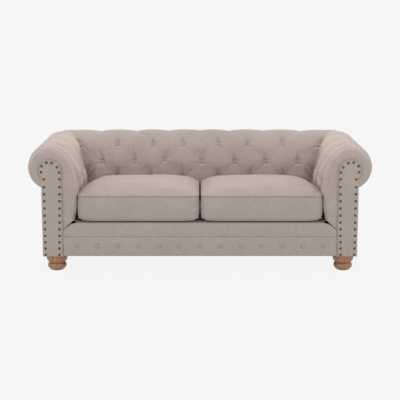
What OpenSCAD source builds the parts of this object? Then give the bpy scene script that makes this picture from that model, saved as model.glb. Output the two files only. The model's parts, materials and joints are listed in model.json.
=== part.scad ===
// Chesterfield sofa with rolled, deep-buttoned arms and back, two loose seat cushions and turned feet.
// The origin lies on the floor under the middle of the sofa. The seat faces -Y, and +Z is up.
// Left and right are as seen from the front, so left is -X.

/* [Overall] */
// Width over the arm rolls
sofa_w = 2100; // [1700:10:2600]
// Depth from the arm facings to the back of the back roll
sofa_d = 960; // [860:10:1150]
// Height of the arm and back rolls above the floor
roll_top = 790; // [740:5:880]
// Height of the bottom edge of the covered body
base_z = 97; // [80:1:130]

/* [Arms and back] */
// Radius of the outer half of the rolls
roll_r = 128; // [105:1:150]
// How much deeper the rolls hang below their middle than a round would
roll_hang = 19; // [0:1:26]
// How far the outside panels stand outside the roll's middle
panel_offset = 49; // [35:1:60]
// How far the inner pad face stands inside the roll's middle
pad_offset = 167; // [140:1:195]
// Height below which the inner pad face runs straight down
bend_z = 540; // [500:5:580]
// Thickness of the padding
foam_t = 62; // [45:1:70]
// Thickness of the outside panels
panel_t = 8; // [5:1:12]
// Thickness of the pad over the front of each arm
front_pad_t = 10; // [6:1:16]
// Rounding of an arm pad's front edge
edge_round = 14; // [8:1:22]

/* [Tufting] */
// Height of the top row of buttons
row_top_z = 713; // [690:1:730]
// Drop from one row of buttons to the next
row_pitch = 111; // [95:1:120]
// Depth of the pleats between buttons
pleat_depth = 15; // [8:1:20]
// Further depth at a button
button_depth = 17; // [8:1:22]
// Least plain length in front of an arm's first buttons
arm_plain = 100; // [60:5:180]
// Radius of a covered button
button_r = 12; // [9:0.5:15]
// Thickness of a covered button
button_t = 6; // [4:0.5:9]

/* [Seat] */
// Height of the seat platform
deck_z = 318; // [295:1:340]
// Thickness of the seat platform
deck_t = 24; // [16:1:32]
// Height of a seat cushion from the platform to its upper welt
cushion_h = 158; // [130:1:180]
// Rise of a seat cushion's crown above its upper welt
crown_h = 62; // [50:1:90]
// Gap between the welts of the two cushions
cushion_gap = 6; // [3:1:14]
// Gap between a cushion's welt and the pads round it
cushion_play = 3; // [1:0.5:8]
// Rounding of a cushion's corners in plan
cushion_corner_r = 52; // [35:1:80]
// How far a cushion's sides are drawn in between its corners
draw_in = 5; // [2:0.5:9]
// Radius of the welts
welt_r = 4; // [3:0.5:6]
// Thickness of cover and wrap round the foam core
wrap_t = 34; // [24:1:44]

/* [Front border] */
// Height of the seam between the two bands above the body's bottom edge
band_seam_h = 125; // [105:1:150]
// Set-back of the bands behind the facings
border_set_back = 3; // [1:0.5:6]
// Buttons on the lower band
border_buttons_n = 13; // [9:2:17]
// Distance of the end buttons on the lower band from the arm facings
border_button_end = 87; // [60:1:120]
// Height of the border's buttons above the body's bottom edge
border_button_h = 65; // [45:1:80]
// Drop of the border's sloping shoulders below the seat platform
border_shoulder = 56; // [35:1:75]

/* [Arm facings] */
// Width of a facing's straight part
facing_w = 124; // [105:1:135]
// Radius of a facing's round head
head_r = 69; // [62:1:76]
// Height of the middle of the head
head_z = 632; // [600:1:650]
// Thickness of a facing
facing_t = 8; // [5:1:12]
// Radius of the piping round a facing
piping_r = 3; // [2:0.5:4]
// Distance of the nail heads from the facing's edge
nail_inset = 13; // [10:0.5:17]
// Radius of a nail head
nail_r = 7; // [5:0.5:9]
// Nails up each side of a facing
column_nails_n = 12; // [8:1:16]
// Nails round a facing's head
head_nails_n = 6; // [5:1:8]

/* [Frame] */
// Thickness of the rails
rail_t = 28; // [20:1:34]
// Height of the side seat rails
side_rail_h = 120; // [90:5:150]
// Thickness of the plywood ribs and arm front boards
board_t = 20; // [15:1:26]
// Thickness of the top and tacking rails
slat_t = 20; // [14:1:24]
// Height of the tacking rails
tack_rail_h = 55; // [40:1:70]
// Width of the posts at the rear corners
post_w = 60; // [45:1:70]
// Length of the sides of the corner blocks
block_w = 150; // [135:1:170]
// Height of the corner blocks
block_h = 40; // [30:1:50]
// Ribs in each arm
arm_ribs_n = 2; // [2:1:3]
// Ribs in the back
back_ribs_n = 4; // [2:2:6]
// Webbing strips up each arm and the back
web_strips_n = 3; // [2:1:3]
// Width of the webbing
web_w = 46; // [36:1:55]
// Thickness of the webbing
web_t = 2; // [1.5:0.5:3]

/* [Springs] */
// Zigzag springs across the seat
springs_n = 9; // [7:2:11]
// Waves along a spring
spring_waves_n = 9; // [7:1:12]
// Width of a spring
spring_w = 54; // [44:1:62]
// Thickness of the spring wire
wire_t = 4; // [3:0.5:5]
// Width of a spring clip
clip_w = 22; // [16:1:28]
// Thickness of a clip's sheet
clip_t = 1.5; // [1:0.5:2]

/* [Feet] */
// Largest radius of a foot's upper cup
cup_r = 62; // [54:1:68]
// Radius of a foot's waist
waist_r = 47; // [40:1:52]
// Largest radius of a foot's bun
bun_r = 56; // [50:1:64]
// Radius of the bun's underside
sole_r = 40; // [27:1:44]
// Distance of a foot's middle from the outside panels
foot_inset = 77; // [72:1:90]
// Thickness of the glide under a foot
glide_t = 3; // [2:0.5:5]
// Radius of a foot bolt
bolt_r = 4; // [3:0.5:5]
// Wall of the threaded insert round a foot bolt
insert_wall = 2.5; // [2:0.5:3]
// Depth of the bolt in the foot
bolt_depth = 40; // [30:1:50]

/* [Hidden] */

// Colours
fabric = [0.66, 0.61, 0.57];
fabric_shade = [0.60, 0.55, 0.51];
beech = [0.80, 0.66, 0.48];
plywood = [0.76, 0.64, 0.46];
oak = [0.66, 0.50, 0.36];
bronze = [0.30, 0.24, 0.20];
steel = [0.62, 0.63, 0.65];
jute = [0.70, 0.58, 0.40];
black_cloth = [0.15, 0.15, 0.16];
felt = [0.35, 0.33, 0.31];
foam = [0.93, 0.90, 0.78];

// Clearance between pieces that lie against each other
fit_gap = 0.3;
// Overrun of a cut past the solid that it cuts
overrun = 1;
// Facets of round pieces
round_fn = 48;
small_fn = 16;

half_w = sofa_w / 2;
roll_z = roll_top - roll_r;
axis_x = half_w - roll_r;
axis_y = sofa_d / 2 - roll_r;
front_y = -sofa_d / 2;
face_x = axis_x - pad_offset;
face_y = axis_y - pad_offset;
panel_x = axis_x + panel_offset;
panel_y = axis_y + panel_offset;
// Thickness of the dust cover, which lies between the feet's cups under the frame
dust_t = 1.5;
frame_z = base_z + 2 * fit_gap + dust_t;
arm_front_y = front_y + facing_t + front_pad_t;
panel_top_z = roll_z - (1 + roll_hang / roll_r) * sqrt(pow(roll_r, 2) - pow(panel_offset, 2)) - fit_gap;

// Section of an arm or of the back. Its first coordinate u runs from the roll's middle towards the
// seat, and its second is the height. It is followed from the platform up the inner face, over the
// crest and round the roll to the top of the outside panel. The roll's upper half is round and its
// lower half is an ellipse.
rows_n = 3;
tuft_steps = 3;
below_n = 2;
over_n = 7;
crest_i = below_n + rows_n * tuft_steps;
outline_n = crest_i + over_n;
over_angle = 180 - asin(panel_offset / roll_r);
crest_rise = roll_top - bend_z;
row1_angle = acos((row_top_z - bend_z) / crest_rise);
row_low_z = row_top_z - (rows_n - 1) * row_pitch;

function blend(a, b, t) = a + (b - a) * t;
function row_at(i) = i < below_n ? rows_n : max(0, rows_n - (i - below_n) / tuft_steps);
function face_z(q) = q < 1 ? bend_z + crest_rise * cos(q * row1_angle) : row_top_z - (q - 1) * row_pitch;
function face_u(z) = pad_offset * sqrt(1 - pow(max(0, z - bend_z) / crest_rise, 2));
function unit(v) = v / norm(v);
function face_normal(z) = z <= bend_z
    ? [1, 0] : unit([face_u(z) / pow(pad_offset, 2), (z - bend_z) / pow(crest_rise, 2)]);
function roll_angle(i) = over_angle * (i - crest_i) / over_n;
function roll_up(angle) = angle <= 90 ? roll_r : roll_r + roll_hang;
function roll_normal(angle) = unit([-sin(angle) / roll_r, cos(angle) / roll_up(angle)]);
function outline_z(i) = i < below_n
    ? blend(deck_z, row_low_z, i / below_n)
    : i <= crest_i ? face_z(row_at(i)) : roll_z + roll_up(roll_angle(i)) * cos(roll_angle(i));
function outline(i) = i <= crest_i
    ? [face_u(outline_z(i)), outline_z(i)]
    : [-roll_r * sin(roll_angle(i)), outline_z(i)];
function outline_normal(i) = i <= crest_i
    ? face_normal(outline_z(i)) : roll_normal(roll_angle(i));
function inset(i, depth) = outline(i) - outline_normal(i) * depth;
// The hollow of a pad, and the boards that fill it, follow every third point of the outline.
hollow_i = [for (i = [0 : tuft_steps : outline_n]) i];
board_depth = foam_t + web_t + 2 * fit_gap;

// Tufting. p counts half pitches along the back from its middle and on round the corner into the
// arms, and row q = 0 lies on the crest. Buttons lie where p + q is even, and pleats join them.
back_bays = 7;
row1_u = face_u(row_top_z);
half_pitch = (axis_x - row1_u) / back_bays;
corner_y = axis_y - row1_u;
arm_bays = floor((corner_y - arm_front_y - arm_plain) / half_pitch);
plain_fade_share = 0.9;
roll_fade_share = 0.6;
dimple_reach = 0.5;

function puff(p, q) = sqrt(abs(sin(90 * (p + q)) * sin(90 * (p - q))));
function is_button(p, q) = q >= 1 && q <= rows_n && abs((p + q) % 2) < 0.01 && p <= back_bays + arm_bays;
function dimple(p, q) = max([for (a = [-1 : 1], b = [-1 : 1])
    let (p2 = round(p) + a, q2 = round(q) + b)
    is_button(abs(p2), q2) ? pow(max(0, 1 - norm([p - p2, q - q2]) / dimple_reach), 1.3) : 0]);
function fade(p, i) = max(0, min(1, 1 + (back_bays + arm_bays - abs(p)) * plain_fade_share))
    * (i <= crest_i ? 1 : max(0, 1 - (i - crest_i) / (over_n * roll_fade_share)))
    * (i >= below_n ? 1 : blend(1, i / below_n, roll_fade_share));
function tuft(p, i) = let (q = row_at(i))
    pleat_depth * (1 - puff(p, q)) * fade(p, i)
    + (i < below_n || i > crest_i ? 0 : button_depth * dimple(p, q));

// A point of the back pad at half pitch p, with the section point uz. The last bay leans to the mitre.
function mitre_x(u) = axis_x - u - fit_gap / 2;
function mitre_y(u) = axis_y - u - fit_gap / 2;
function back_x(p, u) = let (a = abs(p), last = back_bays - 1)
    sign(p) * (a <= last ? a * half_pitch : blend(last * half_pitch, mitre_x(u), a - last));
function back_point(p, uz) = [back_x(p, uz[0]), axis_y - uz[0], uz[1]];
// A point of the left arm pad at bay k from the corner.
function arm_y(k, u) = k < 1 ? blend(mitre_y(u), corner_y - half_pitch, k) : corner_y - k * half_pitch;
function arm_point(y, uz) = [-axis_x + uz[0], y, uz[1]];

// A closed padded skin through rings of outer points. Its hollow runs straight from the first
// ring's inner points to the last ring's, and its quads are split along the pleats.
// phase is the half pitch count of the first ring, in tuft steps.
module swept_pad(rings, first_in, last_in, phase) {
    n = len(rings) - 1;
    m = outline_n;
    h = len(hollow_i) - 1;
    in0 = (n + 1) * (m + 1);
    in1 = in0 + h + 1;
    at = function (s, i) s * (m + 1) + i;
    skin = [for (s = [0 : n - 1], i = [0 : m - 1])
        each (pleat_falls(s + phase, crest_i - i)
            ? [[at(s, i), at(s + 1, i), at(s + 1, i + 1)], [at(s, i), at(s + 1, i + 1), at(s, i + 1)]]
            : [[at(s, i), at(s + 1, i), at(s, i + 1)], [at(s + 1, i), at(s + 1, i + 1), at(s, i + 1)]])];
    hollow = [for (j = [0 : h - 1])
        each [[in0 + j, in0 + j + 1, in1 + j + 1], [in0 + j, in1 + j + 1, in1 + j]]];
    low_edge = concat(
        [for (s = [0 : n - 1]) [at(s, 0), in0, at(s + 1, 0)]],
        [[at(n, 0), in0, in1]]);
    high_edge = concat(
        [for (s = [0 : n - 1]) [at(s, m), at(s + 1, m), in0 + h]],
        [[at(n, m), in1 + h, in0 + h]]);
    first_cap = [for (j = [0 : h - 1]) each concat(
        [for (i = [hollow_i[j] : hollow_i[j + 1] - 1]) [at(0, i), at(0, i + 1), in0 + j]],
        [[in0 + j, at(0, hollow_i[j + 1]), in0 + j + 1]])];
    last_cap = [for (j = [0 : h - 1]) each concat(
        [for (i = [hollow_i[j] : hollow_i[j + 1] - 1]) [at(n, i + 1), at(n, i), in1 + j]],
        [[at(n, hollow_i[j + 1]), in1 + j, in1 + j + 1]])];
    polyhedron(
        points = concat([for (ring = rings) each ring], first_in, last_in),
        faces = turned(concat(skin, hollow, low_edge, high_edge, first_cap, last_cap)),
        convexity = 8);
}
function turned(faces) = [for (f = faces) [for (i = [len(f) - 1 : -1 : 0]) f[i]]];
// True where a quad is split from its first corner to the opposite one. a and b count tuft steps
// along the rows and up the columns, and a pleat runs where a + b or a - b is a whole period.
function pleat_falls(a, b) = let (period = 2 * tuft_steps)
    (a - b + 1) % period != 0 && ((a + b) % period == 0 || (a + b) % 2 == 0);

module back_pad_solid() {
    last = back_bays * tuft_steps;
    rings = [for (s = [-last : last]) let (p = s / tuft_steps)
        [for (i = [0 : outline_n]) back_point(p, inset(i, tuft(p, i)))]];
    hollow_ring = function (p) [for (i = hollow_i) back_point(p, inset(i, foam_t))];
    swept_pad(rings, hollow_ring(-back_bays), hollow_ring(back_bays), -last);
}

// The left arm's pad, from its rounded front edge to the mitre in the corner.
front_round_n = 3;
front_plain_n = 2;
module arm_pad_solid() {
    first_bay_y = arm_y(arm_bays, 0);
    round_y = arm_front_y + edge_round;
    rounded = [for (s = [0 : front_round_n - 1]) let (a = 90 * s / front_round_n)
        [arm_front_y + edge_round * (1 - cos(a)), edge_round * (1 - sin(a))]];
    plain = [for (s = [0 : front_plain_n - 1])
        [blend(round_y, first_bay_y, s / front_plain_n), 0]];
    front = concat(rounded, plain);
    rings = concat(
        [for (f = front) [for (i = [0 : outline_n]) arm_point(f[0], inset(i, f[1] + edge_tuft(f[0], i)))]],
        [for (s = [arm_bays * tuft_steps : -1 : 0]) let (k = s / tuft_steps)
            [for (i = [0 : outline_n]) let (uz = inset(i, tuft(back_bays + k, i)))
                arm_point(arm_y(k, uz[0]), uz)]]);
    first_in = [for (i = hollow_i) arm_point(arm_front_y, inset(i, foam_t))];
    last_in = [for (i = hollow_i) let (uz = inset(i, foam_t)) arm_point(mitre_y(uz[0]), uz)];
    swept_pad(rings, first_in, last_in, -(back_bays + arm_bays) * tuft_steps - len(front));
}
// Pleats of the front bay, which die out towards the front edge.
function edge_tuft(y, i) = let (k = (corner_y - y) / half_pitch)
    pleat_depth * (1 - puff(back_bays + k, row_at(i))) * fade(back_bays + k, i)
    * max(0, min(1, (y - arm_front_y - edge_round) / edge_round));

// Covered buttons
button_lift = 2;
shank_r = 2;
shank_l = 10;
module covered_button() {
    domed_share = 0.55;
    cylinder(r = button_r, h = button_t / 2, $fn = small_fn);
    translate([0, 0, button_t / 2])
        cylinder(r1 = button_r, r2 = button_r * domed_share, h = button_t / 2, $fn = small_fn);
    translate([0, 0, -shank_l])
        cylinder(r = shank_r, h = shank_l + button_t / 2, $fn = small_fn);
}
// A button seated in the pad's dimple at section point i. turn is the wall's direction in plan.
module seated_button(point, i, turn) {
    n = outline_normal(i);
    translate(point) rotate([0, 0, turn]) rotate([atan2(n[0], n[1]), 0, 0])
        translate([0, 0, button_lift]) covered_button();
}
function row_i(q) = crest_i - q * tuft_steps;
module back_button_set() {
    for (q = [1 : rows_n], p = [-back_bays : back_bays])
        if (is_button(abs(p), q)) {
            corner_turn = abs(p) == back_bays ? -45 * sign(p) : 0;
            seated_button(back_point(p, inset(row_i(q), tuft(p, row_i(q)))), row_i(q), corner_turn);
        }
}
module arm_button_set() {
    for (q = [1 : rows_n], k = [1 : arm_bays])
        if (is_button(back_bays + k, q)) {
            uz = inset(row_i(q), tuft(back_bays + k, row_i(q)));
            seated_button(arm_point(arm_y(k, uz[0]), uz), row_i(q), 90);
        }
}

// Left pieces are drawn where they are, and the right ones are their mirror images.
module on_right() {
    mirror([1, 0, 0]) children();
}
// Draws a section, whose coordinates are u and the height, as a board across the left arm.
module across_arm(y, thickness) {
    translate([-axis_x, y + thickness, 0]) rotate([90, 0, 0]) linear_extrude(thickness) children();
}
// The same section as a board across the back.
module across_back(x, thickness) {
    translate([x, axis_y, 0]) rotate([90, 0, -90]) linear_extrude(thickness) children();
}
// A rectangle of the section between u0 and u1 and between z0 and z1.
module section_box(u0, u1, z0, z1) {
    translate([u0, z0]) square([u1 - u0, z1 - z0]);
}

// Frame levels and places, in the section's coordinates
hollow_r = roll_r - board_depth;
board_out_u = -panel_offset + panel_t + fit_gap;
board_in_u = pad_offset - board_depth;
clip_h = 2 * clip_t + wire_t + 2 * fit_gap;
seat_rail_top = deck_z - deck_t - fit_gap - clip_h;
side_rail_top = frame_z + side_rail_h;
rear_inner_y = axis_y - board_out_u;
top_rail_half = hollow_r / 2;
top_rail_share = 0.55;
top_rail_z = roll_z + hollow_r * top_rail_share;
board_foot_share = 0.5;
board_knee_z = seat_rail_top + fit_gap;
shoulder_z = deck_z - border_shoulder;
lip_z = panel_top_z - panel_t;
tack_rail_z = deck_z + fit_gap + panel_t;
front_board_y = arm_front_y + fit_gap;
board_back_y = front_board_y + board_t + fit_gap;
rail_front_y = front_board_y;
rail_back_y = rail_front_y + rail_t;
facing_in = facing_w - panel_offset;

// Outline of the boards that fill the pads' hollow, down to the height foot_z.
module board_outline(foot_z, foot_u) {
    polygon(concat(
        [for (i = hollow_i) inset(i, board_depth)],
        [[board_out_u, lip_z], [board_out_u, foot_z], [foot_u, foot_z]],
        foot_z < board_knee_z ? [[foot_u, board_knee_z]] : []));
}
// Mortises for the top and tacking rails.
module rail_mortises() {
    section_box(-top_rail_half - fit_gap, top_rail_half + fit_gap,
        top_rail_z - slat_t - fit_gap, top_rail_z + fit_gap);
    section_box(board_in_u - slat_t - fit_gap, board_in_u + overrun,
        tack_rail_z - fit_gap, tack_rail_z + tack_rail_h + fit_gap);
}
module rib_outline(foot_z) {
    difference() {
        board_outline(foot_z, board_in_u * board_foot_share);
        rail_mortises();
    }
}

module front_seat_rail() {
    color(beech) translate([-axis_x + facing_in, rail_front_y, frame_z])
        cube([2 * (axis_x - facing_in), rail_t, seat_rail_top - frame_z]);
}
post_u = board_out_u + post_w;
module back_seat_rail() {
    end_x = axis_x - post_u - fit_gap;
    color(beech) translate([-end_x, rear_inner_y - rail_t, frame_z])
        cube([2 * end_x, rail_t, seat_rail_top - frame_z]);
}
module side_rail() {
    back_end = rear_inner_y - post_w - fit_gap;
    color(beech) translate([-axis_x + board_out_u, board_back_y, frame_z])
        cube([rail_t, back_end - board_back_y, side_rail_h]);
}
module centre_seat_rail() {
    front_end = rail_back_y + fit_gap;
    back_end = rear_inner_y - rail_t - fit_gap;
    color(beech) translate([-rail_t / 2, front_end, frame_z])
        cube([rail_t, back_end - front_end, side_rail_h]);
}

// Feet, with their bolts and the corner blocks that hold them
foot_x = panel_x - foot_inset;
front_foot_y = arm_front_y + cup_r + fit_gap;
rear_foot_y = panel_y - foot_inset;
thread_gap = 0.1;
insert_r = bolt_r + thread_gap + insert_wall;
bolt_top_share = 0.8;
block_x = axis_x - board_out_u - rail_t - fit_gap;
module at_feet() {
    for (x = [-foot_x, foot_x], y = [front_foot_y, rear_foot_y]) translate([x, y, 0]) children();
}
module corner_blocks() {
    color(beech) difference() {
        for (x = [-block_x, block_x - block_w], y = [rail_back_y + fit_gap, block_back_y])
            translate([x, y, frame_z]) cube([block_w, block_w, block_h]);
        at_feet() translate([0, 0, frame_z - overrun])
            cylinder(r = insert_r + thread_gap, h = block_h + 2 * overrun, $fn = round_fn);
    }
}
block_back_y = rear_inner_y - post_w - fit_gap - block_w;
module foot_bolts() {
    color(steel) at_feet() translate([0, 0, frame_z - bolt_depth])
        cylinder(r = bolt_r, h = bolt_depth + block_h * bolt_top_share, $fn = round_fn);
}
module foot_inserts() {
    color(steel) at_feet() translate([0, 0, frame_z]) difference() {
        cylinder(r = insert_r, h = block_h, $fn = round_fn);
        translate([0, 0, -overrun])
            cylinder(r = bolt_r + thread_gap, h = block_h + 2 * overrun, $fn = round_fn);
    }
}
// A turned foot: a bun, a waist and a cup under the corner block.
bun_arc_shares = [-0.8, -0.5, -0.2, 0.1, 0.4, 0.6];
module foot() {
    h = frame_z - fit_gap - glide_t;
    bun_h = h * 0.24;
    bun_z = h * 0.33;
    bun_u = bun_r - bun_h;
    profile = concat(
        [[0, 0], [sole_r, 0]],
        [for (share = bun_arc_shares) [bun_u + bun_h * cos(90 * share), bun_z + bun_h * sin(90 * share)]],
        [[waist_r, h * 0.56], [waist_r, h * 0.6], [blend(waist_r, cup_r, 0.5), h * 0.68],
            [blend(waist_r, cup_r, 0.9), h * 0.8], [cup_r, h * 0.92], [cup_r, h], [0, h]]);
    color(oak) translate([0, 0, glide_t]) difference() {
        rotate_extrude($fn = round_fn) polygon(profile);
        translate([0, 0, h + fit_gap - bolt_depth - overrun])
            cylinder(r = bolt_r + thread_gap, h = bolt_depth + 2 * overrun, $fn = round_fn);
    }
}
module foot_glides() {
    color(felt) at_feet() cylinder(r = sole_r - glide_t, h = glide_t, $fn = round_fn);
}
module dust_cover() {
    hole_r = cup_r + glide_t;
    color(black_cloth) difference() {
        translate([-axis_x + board_out_u, rail_front_y, base_z + fit_gap])
            cube([2 * (axis_x - board_out_u), rear_inner_y - rail_front_y, dust_t]);
        at_feet() translate([0, 0, base_z - overrun])
            cylinder(r = hole_r, h = dust_t + 2 * overrun, $fn = round_fn);
    }
}

module arm_front_board() {
    color(plywood) across_arm(front_board_y, board_t) board_outline(frame_z, facing_in - fit_gap);
}
rib_span = face_y - arm_front_y;
module arm_ribs() {
    color(plywood) for (k = [0 : arm_ribs_n - 1])
        across_arm(arm_front_y + rib_span * (k + 0.5) / arm_ribs_n - board_t / 2, board_t)
            rib_outline(side_rail_top + fit_gap);
}
module rear_post() {
    upper = top_rail_half;
    color(beech) union() {
        translate([-axis_x + board_out_u, rear_inner_y - post_w, frame_z])
            cube([post_w, post_w, lip_z - frame_z]);
        translate([-axis_x - upper / 2, axis_y - upper / 2, frame_z])
            cube([upper, upper, top_rail_z - slat_t - fit_gap - frame_z]);
    }
}
module arm_top_rail() {
    back_end = axis_y - top_rail_half - fit_gap;
    color(beech) translate([-axis_x - top_rail_half, board_back_y, top_rail_z - slat_t])
        cube([2 * top_rail_half, back_end - board_back_y, slat_t]);
}
module back_top_rail() {
    end_x = axis_x + top_rail_half;
    color(beech) translate([-end_x, axis_y - top_rail_half, top_rail_z - slat_t])
        cube([2 * end_x, 2 * top_rail_half, slat_t]);
}
module arm_tack_rail() {
    back_end = axis_y - board_in_u - fit_gap;
    color(beech) translate([-axis_x + board_in_u - slat_t, board_back_y, tack_rail_z])
        cube([slat_t, back_end - board_back_y, tack_rail_h]);
}
module back_tack_rail() {
    end_x = axis_x - board_in_u + slat_t;
    color(beech) translate([-end_x, axis_y - board_in_u, tack_rail_z])
        cube([2 * end_x, slat_t, tack_rail_h]);
}
// Back ribs stand between the springs, in pairs either side of the middle.
spring_pitch = 2 * face_x / springs_n;
rib_gap_n = floor(springs_n / back_ribs_n);
module back_ribs() {
    color(plywood) for (side = [-1, 1], j = [0 : back_ribs_n / 2 - 1])
        across_back(side * spring_pitch * (j * rib_gap_n + 0.5) + board_t / 2, board_t)
            rib_outline(seat_rail_top + fit_gap);
}

// Webbing runs level across the ribs, behind the pads
web_u = board_in_u + fit_gap;
web_pitch = (outline_z(tuft_steps) - deck_z) / web_strips_n;
module arm_webbing() {
    back_end = axis_y - web_u - web_t - fit_gap;
    color(jute) for (k = [0 : web_strips_n - 1])
        translate([-axis_x + web_u, front_board_y, deck_z + web_pitch * (k + 0.5) - web_w / 2])
            cube([web_t, back_end - front_board_y, web_w]);
}
module back_webbing() {
    end_x = axis_x - web_u - web_t - fit_gap;
    color(jute) for (k = [0 : web_strips_n - 1])
        translate([-end_x, axis_y - web_u - web_t, deck_z + web_pitch * (k + 0.5) - web_w / 2])
            cube([2 * end_x, web_t, web_w]);
}

// Zigzag springs run from front to back in clips on the seat rails
spring_z = seat_rail_top + fit_gap + clip_t + fit_gap / 2;
clip_back = 6;
spring_front_y = rail_front_y + clip_back;
spring_back_y = rear_inner_y - clip_back;
wave_points_n = 6;
module spring_wave() {
    length = spring_back_y - spring_front_y;
    amplitude = (spring_w - wire_t) / 2;
    last = spring_waves_n * wave_points_n;
    centre = function (j) [amplitude * sin(360 * j / wave_points_n), length * j / last];
    slope = function (j) unit([
        amplitude * cos(360 * j / wave_points_n) * 2 * PI * spring_waves_n / length, 1]);
    side = function (j, d) let (t = slope(j)) centre(j) + d * [t[1], -t[0]];
    linear_extrude(wire_t) polygon(concat(
        [for (j = [0 : last]) side(j, wire_t / 2)],
        [for (j = [last : -1 : 0]) side(j, -wire_t / 2)]));
}
module at_springs() {
    for (k = [0 : springs_n - 1]) translate([spring_pitch * (k + 0.5) - face_x, 0, 0]) children();
}
module seat_springs() {
    color(steel) at_springs() translate([0, spring_front_y, spring_z]) spring_wave();
}
// A clip is a sheet folded over the spring's end, closed away from the seat.
module spring_clip() {
    reach = clip_w;
    difference() {
        translate([-clip_w / 2, 0, 0]) cube([clip_w, reach, clip_h]);
        translate([-clip_w / 2 - overrun, clip_t, clip_t])
            cube([clip_w + 2 * overrun, reach, clip_h - 2 * clip_t]);
    }
}
module spring_clips() {
    clip_inset = clip_back - clip_t - fit_gap - wire_t / 2;
    color(steel) at_springs() {
        translate([0, rail_front_y + clip_inset, seat_rail_top + fit_gap]) spring_clip();
        translate([0, rear_inner_y - clip_inset, seat_rail_top + fit_gap])
            mirror([0, 1, 0]) spring_clip();
    }
}
module seat_platform() {
    half = face_x - fit_gap;
    color(fabric_shade) translate([-half, rail_front_y, deck_z - deck_t])
        cube([2 * half, face_y - fit_gap - rail_front_y, deck_t]);
}

// The front border lies between the arm fronts, whose edges slope in under the cushions
arm_front_u = facing_in + 2 * (piping_r + fit_gap);
border_y = front_y + border_set_back;
border_bottom_z = base_z + border_set_back;
seam_z = base_z + band_seam_h;
module border_band(z0, z1, thickness) {
    low_x = axis_x - arm_front_u - fit_gap;
    high_x = axis_x - inset(0, edge_round)[0] - fit_gap;
    translate([0, border_y + thickness, 0]) rotate([90, 0, 0]) linear_extrude(thickness)
        intersection() {
            polygon([[-low_x, border_bottom_z], [low_x, border_bottom_z], [low_x, shoulder_z],
                [high_x, deck_z], [-high_x, deck_z], [-low_x, shoulder_z]]);
            translate([-low_x, z0]) square([2 * low_x, z1 - z0]);
        }
}
border_depth = arm_front_y - border_y;
module border_upper() {
    color(fabric) border_band(seam_z + fit_gap / 2, deck_z, border_depth);
}
module border_lower() {
    color(fabric) border_band(border_bottom_z, seam_z - fit_gap / 2, border_depth);
}
module border_buttons() {
    end_x = axis_x - facing_in - border_button_end;
    color(fabric_shade) for (k = [0 : border_buttons_n - 1])
        translate([blend(-end_x, end_x, k / (border_buttons_n - 1)), border_y, base_z + border_button_h])
            rotate([90, 0, 0]) covered_button();
}

// Fronts of the arms
module arm_front_pad() {
    color(fabric) across_arm(front_y + facing_t, front_pad_t) polygon(concat(
        [for (i = [0 : outline_n]) inset(i, edge_round)],
        [[-panel_offset, panel_top_z], [-panel_offset, base_z], [arm_front_u, base_z],
            [arm_front_u, shoulder_z]]));
}
head_u = facing_in - head_r;
module arm_facing() {
    color(fabric) across_arm(front_y, facing_t - fit_gap) {
        section_box(-panel_offset, facing_in, base_z, head_z);
        translate([head_u, head_z]) circle(r = head_r, $fn = round_fn);
    }
}
piping_u = head_r + fit_gap + piping_r;
piping_end = 180 + asin(sqrt(1 - pow((head_u + panel_offset) / head_r, 2)));
module facing_piping() {
    color(fabric_shade) translate([-axis_x + head_u, front_y + facing_t - fit_gap - piping_r, 0]) {
        translate([0, 0, head_z]) rotate([90, 0, 0])
            rotate_extrude(angle = piping_end, $fn = round_fn)
                translate([piping_u, 0]) circle(r = piping_r, $fn = small_fn);
        translate([piping_u, 0, base_z]) cylinder(r = piping_r, h = head_z - base_z, $fn = small_fn);
    }
}
nail_spread_share = 0.8;
nail_flat_share = 0.5;
nail_shank_share = 0.15;
nail_l = facing_t * nail_spread_share;
module nail() {
    rotate([90, 0, 0]) {
        cylinder(r1 = nail_r, r2 = nail_r * nail_flat_share, h = nail_r * nail_flat_share, $fn = small_fn);
        translate([0, 0, -nail_l]) cylinder(r = nail_r * nail_shank_share, h = nail_l, $fn = small_fn);
    }
}
module facing_nails() {
    r = head_r - nail_inset;
    low_z = base_z + nail_inset;
    high_z = head_z - r * nail_spread_share;
    color(bronze) translate([-axis_x, front_y, 0]) {
        for (u = [-panel_offset + nail_inset, facing_in - nail_inset], k = [0 : column_nails_n - 1])
            translate([u, 0, blend(low_z, high_z, k / (column_nails_n - 1))]) nail();
        for (k = [0 : head_nails_n - 1]) let (a = 180 * k / (head_nails_n - 1))
            translate([head_u + r * cos(a), 0, head_z + r * sin(a)]) nail();
    }
}

// Outside panels
module outer_arm_panel() {
    color(fabric_shade) translate([-panel_x, arm_front_y, base_z])
        cube([panel_t, panel_y - arm_front_y, panel_top_z - base_z]);
}
module outer_back_panel() {
    half = panel_x - panel_t - fit_gap;
    color(fabric_shade) translate([-half, panel_y - panel_t, base_z])
        cube([2 * half, panel_t, panel_top_z - base_z]);
}

// Seat cushions. A ring is the cushion's plan at one height, drawn in between rounded corners.
cushion_x0 = cushion_gap / 2;
cushion_x1 = face_x - cushion_play;
cushion_hw = (cushion_x1 - cushion_x0) / 2;
cushion_hd = (face_y - cushion_play - border_y) / 2;
cushion_y = (face_y - cushion_play + border_y) / 2;
cushion_z = deck_z + fit_gap;
groove = 1.5 * welt_r;
low_welt_z = 2.5 * welt_r;
corner_n = 5;
side_n = 6;
ring_n = 4 * (corner_n + side_n);
crown_n = 6;
crown_power = 2.6;

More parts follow.
